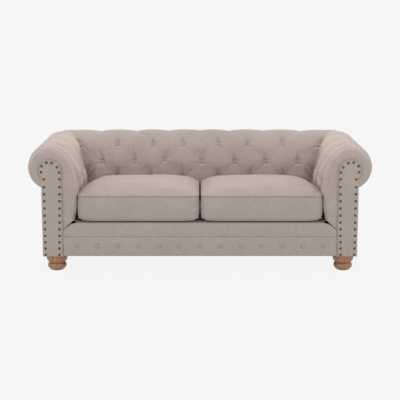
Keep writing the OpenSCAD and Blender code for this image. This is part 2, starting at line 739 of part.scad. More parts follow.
// Plan point j of a ring: centre of its side or corner, and the outward direction.
function plan_point(j, hx, hy, r) = let (
    quarter = floor(j / (corner_n + side_n)),
    k = j % (corner_n + side_n),
    sx = quarter == 0 || quarter == 3 ? 1 : -1,
    sy = quarter < 2 ? 1 : -1,
    a = 90 * (quarter + min(k, corner_n) / corner_n),
    corner = [sx * (hx - r) + r * cos(a), sy * (hy - r) + r * sin(a)],
    run = (quarter % 2 == 0 ? hx : hy) - r,
    t = max(0, k - corner_n) / side_n,
    along = [-sin(a), cos(a)] * 2 * run * t,
    drawn = [cos(a), sin(a)] * draw_in * 4 * t * (1 - t))
    corner + along - drawn;
function plan_normal(j) = let (
    quarter = floor(j / (corner_n + side_n)),
    k = j % (corner_n + side_n),
    a = 90 * (quarter + min(k, corner_n) / corner_n))
    [cos(a), sin(a)];
function ring(scale, step_in, z) = [for (j = [0 : ring_n - 1]) let (
    q = plan_point(j, cushion_hw - step_in, cushion_hd - step_in, max(cushion_corner_r - step_in, welt_r)))
    [q[0] * scale, q[1] * scale, z]];
module stacked_rings(rings, low, high) {
    n = len(rings);
    low_i = n * ring_n;
    next = function (j) (j + 1) % ring_n;
    faces = concat(
        [for (s = [0 : n - 2], j = [0 : ring_n - 1]) each [
            [s * ring_n + j, s * ring_n + next(j), (s + 1) * ring_n + next(j)],
            [s * ring_n + j, (s + 1) * ring_n + next(j), (s + 1) * ring_n + j]]],
        [for (j = [0 : ring_n - 1]) [next(j), j, low_i]],
        [for (j = [0 : ring_n - 1]) [(n - 1) * ring_n + j, (n - 1) * ring_n + next(j), low_i + 1]]);
    polyhedron(points = concat([for (r = rings) each r], [low, high]), faces = turned(faces));
}
module cushion_form() {
    up_z = cushion_h;
    side_in = welt_r;
    crown_z = up_z + groove;
    rings = concat(
        [ring(1, groove + side_in + groove, 0),
            ring(1, side_in, low_welt_z - groove),
            ring(1, side_in + groove, low_welt_z),
            ring(1, side_in, low_welt_z + groove),
            ring(1, side_in / 2, blend(low_welt_z, up_z, 0.5)),
            ring(1, side_in, up_z - groove),
            ring(1, side_in + groove, up_z)],
        [for (k = [0 : crown_n - 1]) let (a = 90 * k / crown_n)
            ring(pow(cos(a), 2 / crown_power), side_in,
                crown_z + (crown_h - groove) * pow(sin(a), 2 / crown_power))]);
    stacked_rings(rings, [0, 0, 0], [0, 0, up_z + crown_h]);
}
module core_block(grow) {
    half_x = cushion_hw - wrap_t + grow;
    half_y = cushion_hd - wrap_t + grow;
    translate([-half_x, -half_y, wrap_t / 2 - grow])
        cube([2 * half_x, 2 * half_y, cushion_h - wrap_t / 2 + 2 * grow]);
}
module in_left_seat() {
    translate([-(cushion_x0 + cushion_x1) / 2, cushion_y, cushion_z]) children();
}
module cushion_cover() {
    color(fabric) in_left_seat() difference() {
        cushion_form();
        core_block(fit_gap);
    }
}
module cushion_core() {
    color(foam) in_left_seat() core_block(0);
}
// A welt is a thin cord round the cushion, sewn into the groove at height z.
welt_sides = 6;
module welt(z) {
    points = [for (j = [0 : ring_n - 1], c = [0 : welt_sides - 1]) let (
        q = plan_point(j, cushion_hw - welt_r, cushion_hd - welt_r, cushion_corner_r - welt_r),
        a = 360 * c / welt_sides,
        n = plan_normal(j) * welt_r * cos(a))
        [q[0] + n[0], q[1] + n[1], z + welt_r * sin(a)]];
    next = function (j) (j + 1) % ring_n;
    turn = function (c) (c + 1) % welt_sides;
    faces = [for (j = [0 : ring_n - 1], c = [0 : welt_sides - 1]) each [
        [j * welt_sides + c, next(j) * welt_sides + c, next(j) * welt_sides + turn(c)],
        [j * welt_sides + c, next(j) * welt_sides + turn(c), j * welt_sides + turn(c)]]];
    polyhedron(points = points, faces = turned(faces), convexity = 4);
}
module cushion_welts() {
    color(fabric_shade) in_left_seat() {
        welt(low_welt_z);
        welt(cushion_h);
    }
}

module arm_pad() {
    color(fabric) arm_pad_solid();
}
module back_pad() {
    color(fabric) back_pad_solid();
}
module arm_buttons() {
    color(fabric_shade) arm_button_set();
}
module back_buttons() {
    color(fabric_shade) back_button_set();
}
module left_foot(y) {
    translate([-foot_x, y, 0]) foot();
}

front_seat_rail();
back_seat_rail();
side_rail();  // side_seat_rail_left
on_right() side_rail();  // side_seat_rail_right
centre_seat_rail();
corner_blocks();
arm_front_board();  // arm_front_board_left
on_right() arm_front_board();  // arm_front_board_right
rear_post();  // rear_post_left
on_right() rear_post();  // rear_post_right
arm_ribs();  // arm_ribs_left
on_right() arm_ribs();  // arm_ribs_right
arm_top_rail();  // arm_top_rail_left
on_right() arm_top_rail();  // arm_top_rail_right
arm_tack_rail();  // arm_tack_rail_left
on_right() arm_tack_rail();  // arm_tack_rail_right
back_ribs();
back_top_rail();
back_tack_rail();
arm_webbing();  // arm_webbing_left
on_right() arm_webbing();  // arm_webbing_right
back_webbing();
seat_springs();
spring_clips();
seat_platform();
dust_cover();
border_upper();
border_lower();
border_buttons();
arm_pad();  // arm_pad_left
on_right() arm_pad();  // arm_pad_right
back_pad();
arm_buttons();  // arm_buttons_left
on_right() arm_buttons();  // arm_buttons_right
back_buttons();
outer_arm_panel();  // outer_arm_panel_left
on_right() outer_arm_panel();  // outer_arm_panel_right
outer_back_panel();
arm_front_pad();  // arm_front_pad_left
on_right() arm_front_pad();  // arm_front_pad_right
arm_facing();  // arm_facing_left
on_right() arm_facing();  // arm_facing_right
facing_piping();  // facing_piping_left
on_right() facing_piping();  // facing_piping_right
facing_nails();  // facing_nails_left
on_right() facing_nails();  // facing_nails_right
left_foot(front_foot_y);  // foot_front_left
on_right() left_foot(front_foot_y);  // foot_front_right
left_foot(rear_foot_y);  // foot_rear_left
on_right() left_foot(rear_foot_y);  // foot_rear_right
foot_bolts();
foot_inserts();
foot_glides();
cushion_cover();  // cushion_cover_left
cushion_core();  // cushion_core_left
cushion_welts();  // cushion_welts_left
on_right() cushion_cover();  // cushion_cover_right
on_right() cushion_core();  // cushion_core_right
on_right() cushion_welts();  // cushion_welts_right
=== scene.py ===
"""Deep-buttoned sofa: builds the visible upholstery, feet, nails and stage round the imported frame."""

import json
import math
from types import SimpleNamespace

import bmesh
import bpy
import numpy as np
from bpy.props import FloatProperty, FloatVectorProperty, IntProperty, PointerProperty
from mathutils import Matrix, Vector


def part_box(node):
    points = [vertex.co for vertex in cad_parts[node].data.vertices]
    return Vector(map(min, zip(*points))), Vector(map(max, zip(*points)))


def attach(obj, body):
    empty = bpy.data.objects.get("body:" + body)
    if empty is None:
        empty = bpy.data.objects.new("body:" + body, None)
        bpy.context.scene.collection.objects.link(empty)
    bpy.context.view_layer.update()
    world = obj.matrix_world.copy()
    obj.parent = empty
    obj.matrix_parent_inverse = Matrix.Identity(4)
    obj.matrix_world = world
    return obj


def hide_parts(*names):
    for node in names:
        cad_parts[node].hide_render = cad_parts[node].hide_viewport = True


bl_info = {
    "name": "Deep-buttoned sofa",
    "version": (1, 0, 0),
    "blender": (4, 5, 0),
    "location": "View3D > Sidebar > Sofa",
    "description": "Upholstery, cushions, feet and stage of a rolled-arm sofa",
    "category": "Add Mesh",
}

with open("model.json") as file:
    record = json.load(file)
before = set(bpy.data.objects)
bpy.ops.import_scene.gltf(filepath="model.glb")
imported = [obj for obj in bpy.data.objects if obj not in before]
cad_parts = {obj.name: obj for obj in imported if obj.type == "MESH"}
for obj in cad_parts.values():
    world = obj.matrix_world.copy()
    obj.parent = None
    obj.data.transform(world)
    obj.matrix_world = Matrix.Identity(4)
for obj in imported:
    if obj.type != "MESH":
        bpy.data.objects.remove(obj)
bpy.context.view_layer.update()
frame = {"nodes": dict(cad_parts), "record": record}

SOFA_BODY = "sofa"
SIDES = {"left": -1, "right": 1}
PAD_LOW, PAD_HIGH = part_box("back_pad")
FACING_LOW, FACING_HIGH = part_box("arm_facing_left")
PANEL_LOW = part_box("outer_arm_panel_left")[0]

# Lengths in metres.
GAP = 0.0003  # between pieces that meet
FRONT_OVERHANG = 0.010  # from the end of the arms' upholstery to the face of its padded front
CORNER_ROUND = 0.085  # radius in plan of the rolls' outer corners
SHOULDER_DROP = 0.056  # from the platform down to where the arms' fronts turn upright
HEAD_HEIGHT = 0.632  # middle of the round heads of the facings
NAIL_INSET = 0.013  # from the head's edge to its nails
BUTTON_HEIGHT = 0.007
BUTTON_LIFT = 0.0035  # of a button's middle over the bottom of its dimple
BAND_BULGE = 0.002
CUSHION_PULL = 0.002  # how far a cushion's sides pull in between its corners
CUSHION_FOOT_INSET = 0.022  # from the widest outline of a cushion to its flat bottom

# Numbers of steps of the computed surfaces: along the section, and across a bay.
SECTION_ROWS = 250
BAY_COLUMNS = 40


def size_value(name, default, description):
    """A length, in metres, that a user can change."""
    return FloatProperty(name=name, description=description, default=default, unit="LENGTH")


def count_value(name, default, description):
    """A number of things that a user can change."""
    return IntProperty(name=name, description=description, default=default)


def colour_value(name, default, description):
    """A linear colour that a user can change."""
    return FloatVectorProperty(name=name, description=description, default=default, subtype="COLOR")


class SofaSizes(bpy.types.PropertyGroup):
    """Sizes that the visible pieces follow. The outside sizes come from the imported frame."""

    roll_radius: size_value("Roll radius", 0.128, "Radius of the rolled arms and back")
    roll_hang: size_value(
        "Roll hang", 0.019, "How much deeper the rolls hang below their middle than a round would")
    pad_offset: size_value("Pad offset", 0.167, "From the roll's middle to the inner face")
    bend_height: size_value("Bend height", 0.540, "Height at which the inner face starts to lean back")
    foam: size_value("Foam", 0.062, "Thickness of the arms' and the back's padding")
    row_heights: FloatVectorProperty(
        name="Rows", description="Heights of the three rows of buttons, highest first",
        default=(0.708, 0.589, 0.485), unit="LENGTH")
    pleat_depth: size_value("Pleat depth", 0.009, "Depth of the dips in the crest of the back")
    button_depth: size_value("Button depth", 0.010, "How far a button is pulled in past the pleats")
    button_radius: size_value("Button radius", 0.0105, "Radius of a covered button")
    back_bays: count_value("Back bays", 7, "Half pitches from the back's middle to its corner")
    arm_bays: count_value("Arm bays", 5, "Half pitches of buttons along an arm")
    front_round: size_value("Front rounding", 0.040, "Depth of the roll's rounded front edge")
    welt_radius: size_value("Welt radius", 0.0035, "Radius of the cushions' piping")
    cushion_height: size_value("Cushion height", 0.158, "Height of a cushion at its upper piping")
    cushion_crown: size_value("Cushion crown", 0.062, "Rise of a cushion's middle over its piping")
    cushion_corner: size_value("Cushion corner", 0.046, "Radius of a cushion's corners")
    nail_radius: size_value("Nail radius", 0.0083, "Radius of a decorative nail head")


class SofaColours(bpy.types.PropertyGroup):
    """Colours of the finishes, as linear values."""

    cloth: colour_value("Cloth", (0.395, 0.337, 0.306), "Woven upholstery")
    # The platform's plain cloth is a real lining, set dark so that the gaps round and between the cushions
    # read black: painted shade.
    lining: colour_value("Lining", (0.15, 0.125, 0.11), "Plain cloth of the platform")
    oak: colour_value("Oak", (0.37, 0.185, 0.088), "Turned feet")
    beech: colour_value("Beech", (0.60, 0.40, 0.21), "Rails and posts")
    bronze: colour_value("Bronze", (0.085, 0.058, 0.042), "Aged nail heads")
    backdrop: colour_value("Backdrop", (0.922, 0.922, 0.922), "Floor and background")


def sofa_plan(sizes):
    """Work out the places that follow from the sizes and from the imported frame's boxes."""
    plan = SimpleNamespace(**{name: getattr(sizes, name) for name in SofaSizes.__annotations__})
    half_width, rear, roll_top = (round(limit, 3) for limit in PAD_HIGH)
    plan.deck = PAD_LOW[2]
    plan.shoulder = plan.deck - SHOULDER_DROP
    plan.base, plan.front = FACING_LOW[2], FACING_LOW[1]
    plan.axis_x = half_width - plan.roll_radius
    plan.axis_y = rear - plan.roll_radius
    plan.roll_z = roll_top - plan.roll_radius
    plan.rise = roll_top - plan.bend_height
    plan.panel = PANEL_LOW[0] + plan.axis_x
    plan.facing_in = FACING_HIGH[0] + plan.axis_x
    plan.over_angle = math.pi + math.asin(plan.panel / plan.roll_radius)
    plan.rows = tuple(plan.row_heights)
    plan.row_angle = math.acos((plan.rows[0] - plan.bend_height) / plan.rise)
    row_u = plan.pad_offset * math.sin(plan.row_angle)
    plan.half_pitch = (plan.axis_x - row_u) / plan.back_bays
    plan.corner_y = plan.axis_y - row_u
    plan.arm_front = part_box("arm_pad_left")[0][1]
    plan.last = plan.back_bays + plan.arm_bays
    return plan


def user_choices(context):
    """The plan that the user's sizes give, and the user's colours."""
    return sofa_plan(context.scene.sofa_sizes), context.scene.sofa_colours


def blend(a, b, t):
    """The value a share t of the way from a to b."""
    return a + (b - a) * t


def smooth(t):
    """Ease from 0 to 1 as t goes from 0 to 1: 3 t squared less 2 t cubed."""
    t = np.clip(t, 0, 1)
    return t * t * (3 - 2 * t)


def between(x, low, ease_in, high, ease_out):
    """1 between low and high and 0 beyond them, eased in past low and out before high."""
    return smooth((x - low) / ease_in) * smooth((high - x) / ease_out)


def bell(x, width):
    """A bell of height 1 round x = 0: e to the power of minus the square of x over the width."""
    return np.exp(-(x / width)**2)


def quarter_round(t):
    """How far a quarter circle of radius 1 has dropped at a share t of the way from its crown to its edge."""
    return 1 - np.sqrt(1 - np.clip(t, 0, 1)**2)


def stacked(*coordinates):
    """Points from their coordinates, which may be numbers, rows or grids."""
    return np.stack(np.broadcast_arrays(*coordinates), axis=-1)


def distance_along(points):
    """Distance of each point of a chain from its first point, along the chain."""
    return np.concatenate([[0], np.cumsum(np.linalg.norm(np.diff(points, axis=0), axis=1))])


def scatter(a, b, seed=0.0):
    """A fixed scattered value from 0 to 1 for each pair of whole numbers: the fraction of a large sine."""
    return np.modf(np.abs(np.sin(a * 12.9898 + b * 78.233 + seed * 37.719) * 43758.5453))[0]


def ripple(u, v, wavelength, seed):
    """Gentle unevenness between -1 and 1: the mean of five sine waves that cross at scattered angles."""
    total = np.zeros(np.broadcast(u, v).shape)
    for k in range(5):
        turn = 2 * math.pi * float(scatter(k, 3.0, seed))
        length = wavelength * (0.7 + 0.8 * float(scatter(k, 7.0, seed)))
        phase = 2 * math.pi * float(scatter(k, 11.0, seed))
        total = total + np.sin(2 * math.pi * (u * math.cos(turn) + v * math.sin(turn)) / length + phase)
    return total / 5


# Mesh making


def quad_rows(rows, columns, start):
    """Corner numbers of the squares of a grid that is stored row by row."""
    i = np.arange(rows * columns).reshape(rows, columns) + start
    return stacked(i[:-1, :-1], i[:-1, 1:], i[1:, 1:], i[1:, :-1]).reshape(-1, 4)


def make_piece(name, patches, material, caps=(), sharp=50.0):
    """Join grids of points into one closed mesh object.

    A patch is a (rows, columns, 3) grid of points, or a pair of it and a (rows, columns, 2) grid of cloth
    coordinates in metres. A cap is a ring of points that one flat face fills. Points that coincide are
    merged, which closes the seams, and the faces are then turned outwards.
    """
    points, cloth, faces, start = [], [], [], 0
    for patch in patches:
        grid, uv = patch if isinstance(patch, tuple) else (patch, patch[..., [0, 2]] + patch[..., [1, 1]])
        points.append(grid.reshape(-1, 3))
        cloth.append(uv.reshape(-1, 2))
        faces.append(quad_rows(grid.shape[0], grid.shape[1], start))
        start += grid.shape[0] * grid.shape[1]
    corners = np.concatenate(faces).ravel()
    counts = np.full(len(corners) // 4, 4)
    for ring in caps:
        points.append(ring)
        cloth.append(ring[:, [0, 2]])
        corners = np.concatenate([corners, np.arange(len(ring)) + start])
        counts = np.append(counts, len(ring))
        start += len(ring)
    points = np.concatenate(points)
    uv = np.concatenate(cloth)[corners]

    mesh = bpy.data.meshes.new(name)
    mesh.vertices.add(len(points))
    mesh.vertices.foreach_set("co", points.astype(np.float32).ravel())
    mesh.loops.add(len(corners))
    mesh.loops.foreach_set("vertex_index", corners.astype(np.int32))
    mesh.polygons.add(len(counts))
    mesh.polygons.foreach_set("loop_start", np.concatenate([[0], np.cumsum(counts)[:-1]]).astype(np.int32))
    mesh.update(calc_edges=True)
    layer = mesh.uv_layers.new(name="Cloth")
    layer.data.foreach_set("uv", uv.astype(np.float32).ravel())

    work = bmesh.new()
    work.from_mesh(mesh)
    bmesh.ops.remove_doubles(work, verts=work.verts, dist=1e-5)
    bmesh.ops.recalc_face_normals(work, faces=work.faces)
    work.to_mesh(mesh)
    work.free()
    mesh.polygons.foreach_set("use_smooth", np.ones(len(mesh.polygons), dtype=bool))
    mesh.set_sharp_from_angle(angle=math.radians(sharp))
    mesh.materials.append(material)
    piece = bpy.data.objects.new(name, mesh)
    bpy.context.scene.collection.objects.link(piece)
    return piece


def place(piece, node, body=SOFA_BODY):
    """Tie a piece to its body and hide the node that it stands for."""
    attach(piece, body)
    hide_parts(node)


def fan(row, apex):
    """A strip of triangles from a row of points to one point."""
    return np.stack([row, np.broadcast_to(apex, row.shape)])


def fitted(patches, scale, shift=0.0):
    """Scale patches or caps along each axis, then move them."""
    return [(p[0] * scale + shift, p[1]) if isinstance(p, tuple) else p * scale + shift for p in patches]


def mirrored(patches, side):
    """Turn left-hand patches or caps into right-hand ones by changing the sign of x."""
    return fitted(patches, np.array([-side, 1, 1]))


def lathe(radius, height, centre, count=64):
    """Turn a profile, given as arrays of radius and height, round the vertical line through centre."""
    angle = np.linspace(0, 2 * np.pi, count + 1)
    grid = stacked(radius[:, None] * np.cos(angle), radius[:, None] * np.sin(angle), height[:, None])
    return grid + np.asarray(centre), stacked(angle * radius.max(), height[:, None])


def tube(path, radius, sides=10, closed=False):
    """Carry a circle along a path. Its frame follows the path's tangent and the nearest upright direction."""
    if closed:
        path = np.concatenate([path, path[:1]])
        tangent = np.roll(path[:-1], -1, 0) - np.roll(path[:-1], 1, 0)
        tangent = np.concatenate([tangent, tangent[:1]])
    else:
        tangent = np.gradient(path, axis=0)
    tangent /= np.linalg.norm(tangent, axis=1, keepdims=True)
    across = np.cross(tangent, [0.0, 1.0, 0.02])
    flat = np.linalg.norm(across, axis=1, keepdims=True) < 0.2
    across = np.where(flat, np.cross(tangent, [0.0, 0.0, 1.0]), across)
    across /= np.linalg.norm(across, axis=1, keepdims=True)
    up = np.cross(across, tangent)
    angle = np.linspace(0, 2 * np.pi, sides + 1)
    grid = path[:, None] + radius * (
        across[:, None] * np.cos(angle)[None, :, None] + up[:, None] * np.sin(angle)[None, :, None])
    along = distance_along(path)
    uv = stacked(along[:, None], angle[None] * radius)
    return grid, uv


def even_steps(low, high, edge, spacing):
    """Grid lines between two limits: a fine quarter round at each edge and even steps between them."""
    turn = np.linspace(0, math.pi / 2, 5)
    near = edge * (1 - np.cos(turn))
    count = max(2, int(round((high - low - 2 * edge) / spacing)))
    inner = np.linspace(low + edge, high - edge, count + 1)
    return np.concatenate([low + near[:-1], inner, (high - near[:-1])[::-1]])


def rounded_box(low, high, edge, spacing=0.02, shape=None):
    """Six grids of a box with rounded edges.

    Each point is pulled to a distance of the edge radius from the box that is smaller by that radius all
    round. shape may move the points afterwards.
    """
    low, high = np.asarray(low, dtype=float), np.asarray(high, dtype=float)
    lines = [even_steps(low[k], high[k], edge, spacing) for k in range(3)]
    patches = []
    for k in range(3):
        a, b = [j for j in range(3) if j != k]
        grid_a, grid_b = np.meshgrid(lines[a], lines[b], indexing="ij")
        for limit in (low[k], high[k]):
            grid = np.zeros(grid_a.shape + (3,))
            grid[..., a], grid[..., b], grid[..., k] = grid_a, grid_b, limit
            core = np.clip(grid, low + edge, high - edge)
            out = grid - core
            length = np.linalg.norm(out, axis=-1, keepdims=True)
            grid = core + out * edge / np.maximum(length, 1e-9)
            uv = stacked(grid_a, grid_b)
            patches.append((shape(grid) if shape else grid, uv))
    return patches


# Materials


class Value:
    """A shader socket in an expression. Arithmetic on it adds Math nodes."""

    def __init__(self, graph, socket):
        self.graph, self.socket = graph, socket

    def output(self, key):
        """Another output of the same node."""
        return Value(self.graph, self.socket.node.outputs[key])

    def math(self, operation, *sockets):
        return self.graph.node("ShaderNodeMath", {"operation": operation}, dict(enumerate(sockets)))

    def __add__(self, other):
        return self.math("ADD", self, other)

    def __mul__(self, other):
        return self.math("MULTIPLY", self, other)

    def __sub__(self, other):
        return self.math("SUBTRACT", self, other)

    def __rsub__(self, other):
        return self.math("SUBTRACT", other, self)

    __radd__ = __add__
    __rmul__ = __mul__

    def sine(self):
        return self.math("SINE", self)

    def limited(self):
        return self.graph.node("ShaderNodeClamp", {}, {"Value": self})


class Graph:
    """Writes the nodes of a new material or, with that kind, of a new world."""

    def __init__(self, name, kind="materials"):
        self.block = getattr(bpy.data, kind).new(name)
        self.block.use_nodes = True
        self.tree = self.block.node_tree
        self.tree.nodes.clear()

    def node(self, kind, settings, sockets, output=0):
        """Add a node, set its settings, then feed its sockets with values or links."""
        made = self.tree.nodes.new(kind)
        for name, value in settings.items():
            setattr(made, name, value)
        for key, value in sockets.items():
            if isinstance(value, Value):
                self.tree.links.new(value.socket, made.inputs[key])
            else:
                made.inputs[key].default_value = value
        return Value(self, made.outputs[output]) if len(made.outputs) else made

    def coordinates(self, kind="Object", scale=(1, 1, 1)):
        place_in = self.node("ShaderNodeTexCoord", {}, {}, kind)
        return self.node("ShaderNodeMapping", {}, {"Vector": place_in, "Scale": scale})

    def split(self, vector):
        """The three coordinates of a vector."""
        first = self.node("ShaderNodeSeparateXYZ", {}, {"Vector": vector})
        return [first.output(k) for k in range(3)]

    def noise(self, vector, scale, detail=3.0, rough=0.5):
        return self.node("ShaderNodeTexNoise", {}, {
            "Vector": vector, "Scale": scale, "Detail": detail, "Roughness": rough})

    def mix(self, factor, first, second):
        return self.node("ShaderNodeMix", {"data_type": "RGBA"}, {0: factor, 6: first, 7: second}, 2)

    def bump(self, height, strength, distance, **under):
        return self.node(
            "ShaderNodeBump", {}, {"Strength": strength, "Distance": distance, "Height": height, **under})

    def surface(self, sockets):
        shader = self.node("ShaderNodeBsdfPrincipled", {}, sockets)
        self.node("ShaderNodeOutputMaterial", {}, {"Surface": shader})
        return self.block


def shade(colour, factor):
    """A colour made lighter or darker, as the four numbers that a colour socket takes."""
    return (*[min(1.0, c * factor) for c in colour[:3]], 1.0)


def woven_cloth(name, colour, tone=1.0, thread=0.0016, crumple=0.5):
    """Plain weave: crossing threads of uneven thickness, with a slight mottle and soft crumples."""
    graph = Graph(name)
    # tone makes the whole colour lighter or darker: on the arms and their fronts it is painted light, on the
    # cushions painted shade.
    colour = shade(colour, tone)
    solid = graph.coordinates("Object")
    across, along, _ = graph.split(graph.coordinates("UV"))
    turns = 2 * math.pi / thread
    weave = (across * turns).sine() * (along * turns).sine()
    warp = graph.noise(graph.coordinates("UV", (60, 900, 1)), 1.0, 2.0)
    weft = graph.noise(graph.coordinates("UV", (900, 60, 1)), 1.0, 2.0)
    mottle = graph.noise(solid, 55.0, 4.0, 0.65)
    patch = graph.noise(solid, 7.0, 2.0)
    threads = warp * 0.5 + weft * 0.5
    mixed = (threads * 1.1 + mottle * 0.8 + patch * 0.5 - 0.70 + weave * 0.04).limited()
    crumples = graph.noise(solid, 30.0, 3.0, 0.55)
    folds = graph.bump(crumples, 0.35 * crumple, 0.006)
    return graph.surface({
        "Base Color": graph.mix(mixed, shade(colour, 0.84), shade(colour, 1.16)),
        "Roughness": mottle * 0.1 + 0.84,
        "Normal": graph.bump(weave * 0.35 + threads * 1.2, 0.45, 0.0007, Normal=folds),
        "Specular IOR Level": 0.18, "Sheen Weight": 0.35, "Sheen Roughness": 0.5,
        "Sheen Tint": shade(colour, 2.2)})


def turned_oak(name, colour, across=26.0, gloss=0.42):
    """Pale wood with its grain upright: stretched noise bends a set of bands."""
    graph = Graph(name)
    warp = graph.noise(graph.coordinates("Object", (9, 9, 2.5)), 1.0, 2.0)
    fibre = graph.noise(graph.coordinates("Object", (420, 420, 18)), 1.0, 4.0, 0.6)
    width, depth, _ = graph.split(graph.coordinates("Object"))
    turns = (width * across + depth * across * 0.6 + warp * 4.0) * (2 * math.pi)
    bands = turns.sine() * 0.5 + 0.5
    tone = (bands * 0.45 + fibre * 0.75 - 0.1).limited()
    return graph.surface({
        "Base Color": graph.mix(tone, shade(colour, 0.66), shade(colour, 1.22)),
        "Roughness": fibre * 0.25 + gloss - 0.1, "Normal": graph.bump(fibre, 0.25, 0.0006),
        "Coat Weight": 0.12, "Coat Roughness": 0.3})


def aged_bronze(name, colour):
    """Dark bronze with scattered lighter patches and a hammered surface."""
    graph = Graph(name)
    solid = graph.coordinates("Object")
    patina = graph.noise(solid, 420.0, 4.0, 0.6)
    hammered = graph.noise(solid, 260.0, 1.0)
    base = graph.mix((patina * 2.0 - 0.5).limited(), shade(colour, 0.6), shade(colour, 2.6))
    return graph.surface({
        "Base Color": base, "Roughness": patina * 0.4 + 0.28, "Metallic": 0.85,
        "Normal": graph.bump(hammered, 0.5, 0.0012)})


def drawn_steel(name):
    """Plated steel with fine drawing lines."""
    graph = Graph(name)
    lines = graph.noise(graph.coordinates("Object", (40, 40, 900)), 1.0, 3.0)
    base = graph.mix(lines, (0.36, 0.37, 0.38, 1.0), (0.58, 0.58, 0.57, 1.0))
    return graph.surface({
        "Base Color": base, "Metallic": 1.0, "Roughness": lines * 0.2 + 0.28,
        "Normal": graph.bump(lines, 0.2, 0.0003)})


def two_tone(graph, pattern, dark, light, strength, rough=0.95):
    """A dull finish whose colour and relief follow one pattern."""
    return graph.surface({
        "Base Color": graph.mix(pattern, (*dark, 1.0), (*light, 1.0)), "Roughness": rough,
        "Normal": graph.bump(pattern, strength, 0.001)})


def cell_foam(name):
    """Upholstery foam: small open cells on pale yellow."""
    graph = Graph(name)
    solid = graph.coordinates("Object")
    cells = graph.node("ShaderNodeTexVoronoi", {}, {"Vector": solid, "Scale": 420.0})
    return two_tone(graph, cells, (0.62, 0.55, 0.34), (0.80, 0.74, 0.52), 0.4)


def woven_jute(name):
    """Coarse jute: wide crossing yarns on Object coordinates."""
    graph = Graph(name)
    width, depth, upright = graph.split(graph.coordinates("Object"))
    yarns = ((width + depth) * 1600.0).sine() * (upright * 1600.0).sine() * 0.5 + 0.5
    return two_tone(graph, yarns, (0.30, 0.21, 0.10), (0.52, 0.39, 0.21), 0.5)


def plain_felt(name):
    """Grey felt: fine matted noise."""
    graph = Graph(name)
    fibre = graph.noise(graph.coordinates("Object"), 900.0, 4.0, 0.7)
    return two_tone(graph, fibre, (0.06, 0.055, 0.05), (0.16, 0.15, 0.14), 0.6, 1.0)


# The section of the arms and the back


def section(plan, q):
    """Points and outward normals of the section at rows q.

    Row 0 is the crest, rows 1 to 3 hold buttons, row 4 is the platform, and row -1 is where the roll meets
    the outside panel. Up from the bend the inner face is a quarter of an ellipse, below it it is straight,
    and past the crest the roll is a circle whose lower half is drawn out downwards. The first coordinate
    runs from the roll's middle to the seat.
    """
    turn = -np.clip(q, -1, 0) * plan.over_angle
    lean = np.clip(q, 0, 1) * plan.row_angle
    rows_z = np.interp(q, (1, 2, 3), plan.rows)
    below_z = blend(plan.rows[2], plan.deck, q - 3)
    radius = np.where(turn > math.pi / 2, plan.roll_radius + plan.roll_hang, plan.roll_radius)
    z = np.select(
        [q < 0, q < 1, q < 3],
        [plan.roll_z + radius * np.cos(turn), plan.bend_height + plan.rise * np.cos(lean), rows_z],
        below_z)
    high = np.clip((z - plan.bend_height) / plan.rise, 0, 1)
    u = np.where(q < 0, -plan.roll_radius * np.sin(turn), plan.pad_offset * np.sqrt(1 - high**2))
    normal_u = np.where(q < 0, -np.sin(turn) / plan.roll_radius, u / plan.pad_offset**2)
    normal_z = np.where(q < 0, np.cos(turn) / radius, high / plan.rise)
    length = np.hypot(normal_u, normal_z)
    return stacked(u, z), stacked(normal_u, normal_z) / length[..., None]


def even_rows(plan, count):
    """Rows that lie at equal steps along the section, and their distance along it."""
    fine = np.linspace(-1, 4, 4000)
    points, _ = section(plan, fine)
    along = distance_along(points)
    steps = np.linspace(0, along[-1], count)
    return np.interp(steps, along, fine), steps


# How far the buttons of the back and its crest dips stand off their even places, from left to right:
# sewn by hand, they are never quite even. Rows 0 to 3 run from the crest down.
ROW_SHIFTS = (
    (0.010, 0.020, 0.016, 0.000, -0.030, -0.024, -0.004),
    (0.007, 0.013, 0.026, 0.003, 0.013, -0.026, -0.012, -0.005),
    (0.026, 0.014, -0.013, 0.014, 0.005, -0.015, -0.027),
    (0.004, 0.010, 0.006, -0.008, 0.010, -0.008, -0.006, -0.004),
)


def shift_at(plan, p, q):
    """Sideways shift of the tufting, in half pitches: linear between the buttons and between the rows."""
    p_in = np.clip(p, -plan.back_bays, plan.back_bays)
    edge = smooth((plan.back_bays + 0.6 - np.abs(p)) / 0.6)
    rows = []
    for number, shifts in enumerate(ROW_SHIFTS):
        first = -plan.back_bays + (number + plan.back_bays) % 2
        places = first + 2 * np.arange(-1, len(shifts) + 1)
        values = np.pad(shifts, 1) / plan.half_pitch
        rows.append(np.interp(p_in, places + values, values) * edge)
    level = np.clip(q, 0, 3)
    whole = np.minimum(np.floor(level), 2).astype(int)
    return blend(np.choose(whole, rows[:3]), np.choose(whole, rows[1:]), smooth(level - whole))


def pattern_at(plan, p_even, q_even):
    """Half pitch and row on the tufting's pattern, which was sewn by hand, of an even place.

    The pattern is shifted sideways, and one button of the back's middle row sits higher than its row.
    """
    raised = 0.17 * np.exp(-(p_even + 2)**2 - ((q_even - 2) / 0.5)**2)
    return p_even - shift_at(plan, p_even, q_even), q_even + raised


# Depths and half widths of the tufting's small forms, in metres: the thin creases, the two folds over a
# button with the hollow between them, and a button's dimple with the ring and the gathers in it.
CREASE_DEPTH, CREASE_WIDTH = 0.0046, 0.0036
FOLD_DEPTH, FOLD_WIDTH = 0.0042, 0.0032
HOLLOW_DEPTH = 0.0058
DIMPLE_REACH = 0.044
RING_DEPTH, RING_RADIUS, RING_WIDTH = 0.0020, 0.0125, 0.0035
GATHER_DEPTH, GATHER_RADIUS = 0.0012, 0.018

# Folds that fan out from the foot of each rear corner into the back: lean in radians, and length.
CORNER_FOLDS = ((0.36, 0.165), (0.68, 0.150))
CORNER_FOLD_DEPTH = 0.0105
CORNER_FOLD_FOOT = 0.440  # height of that foot

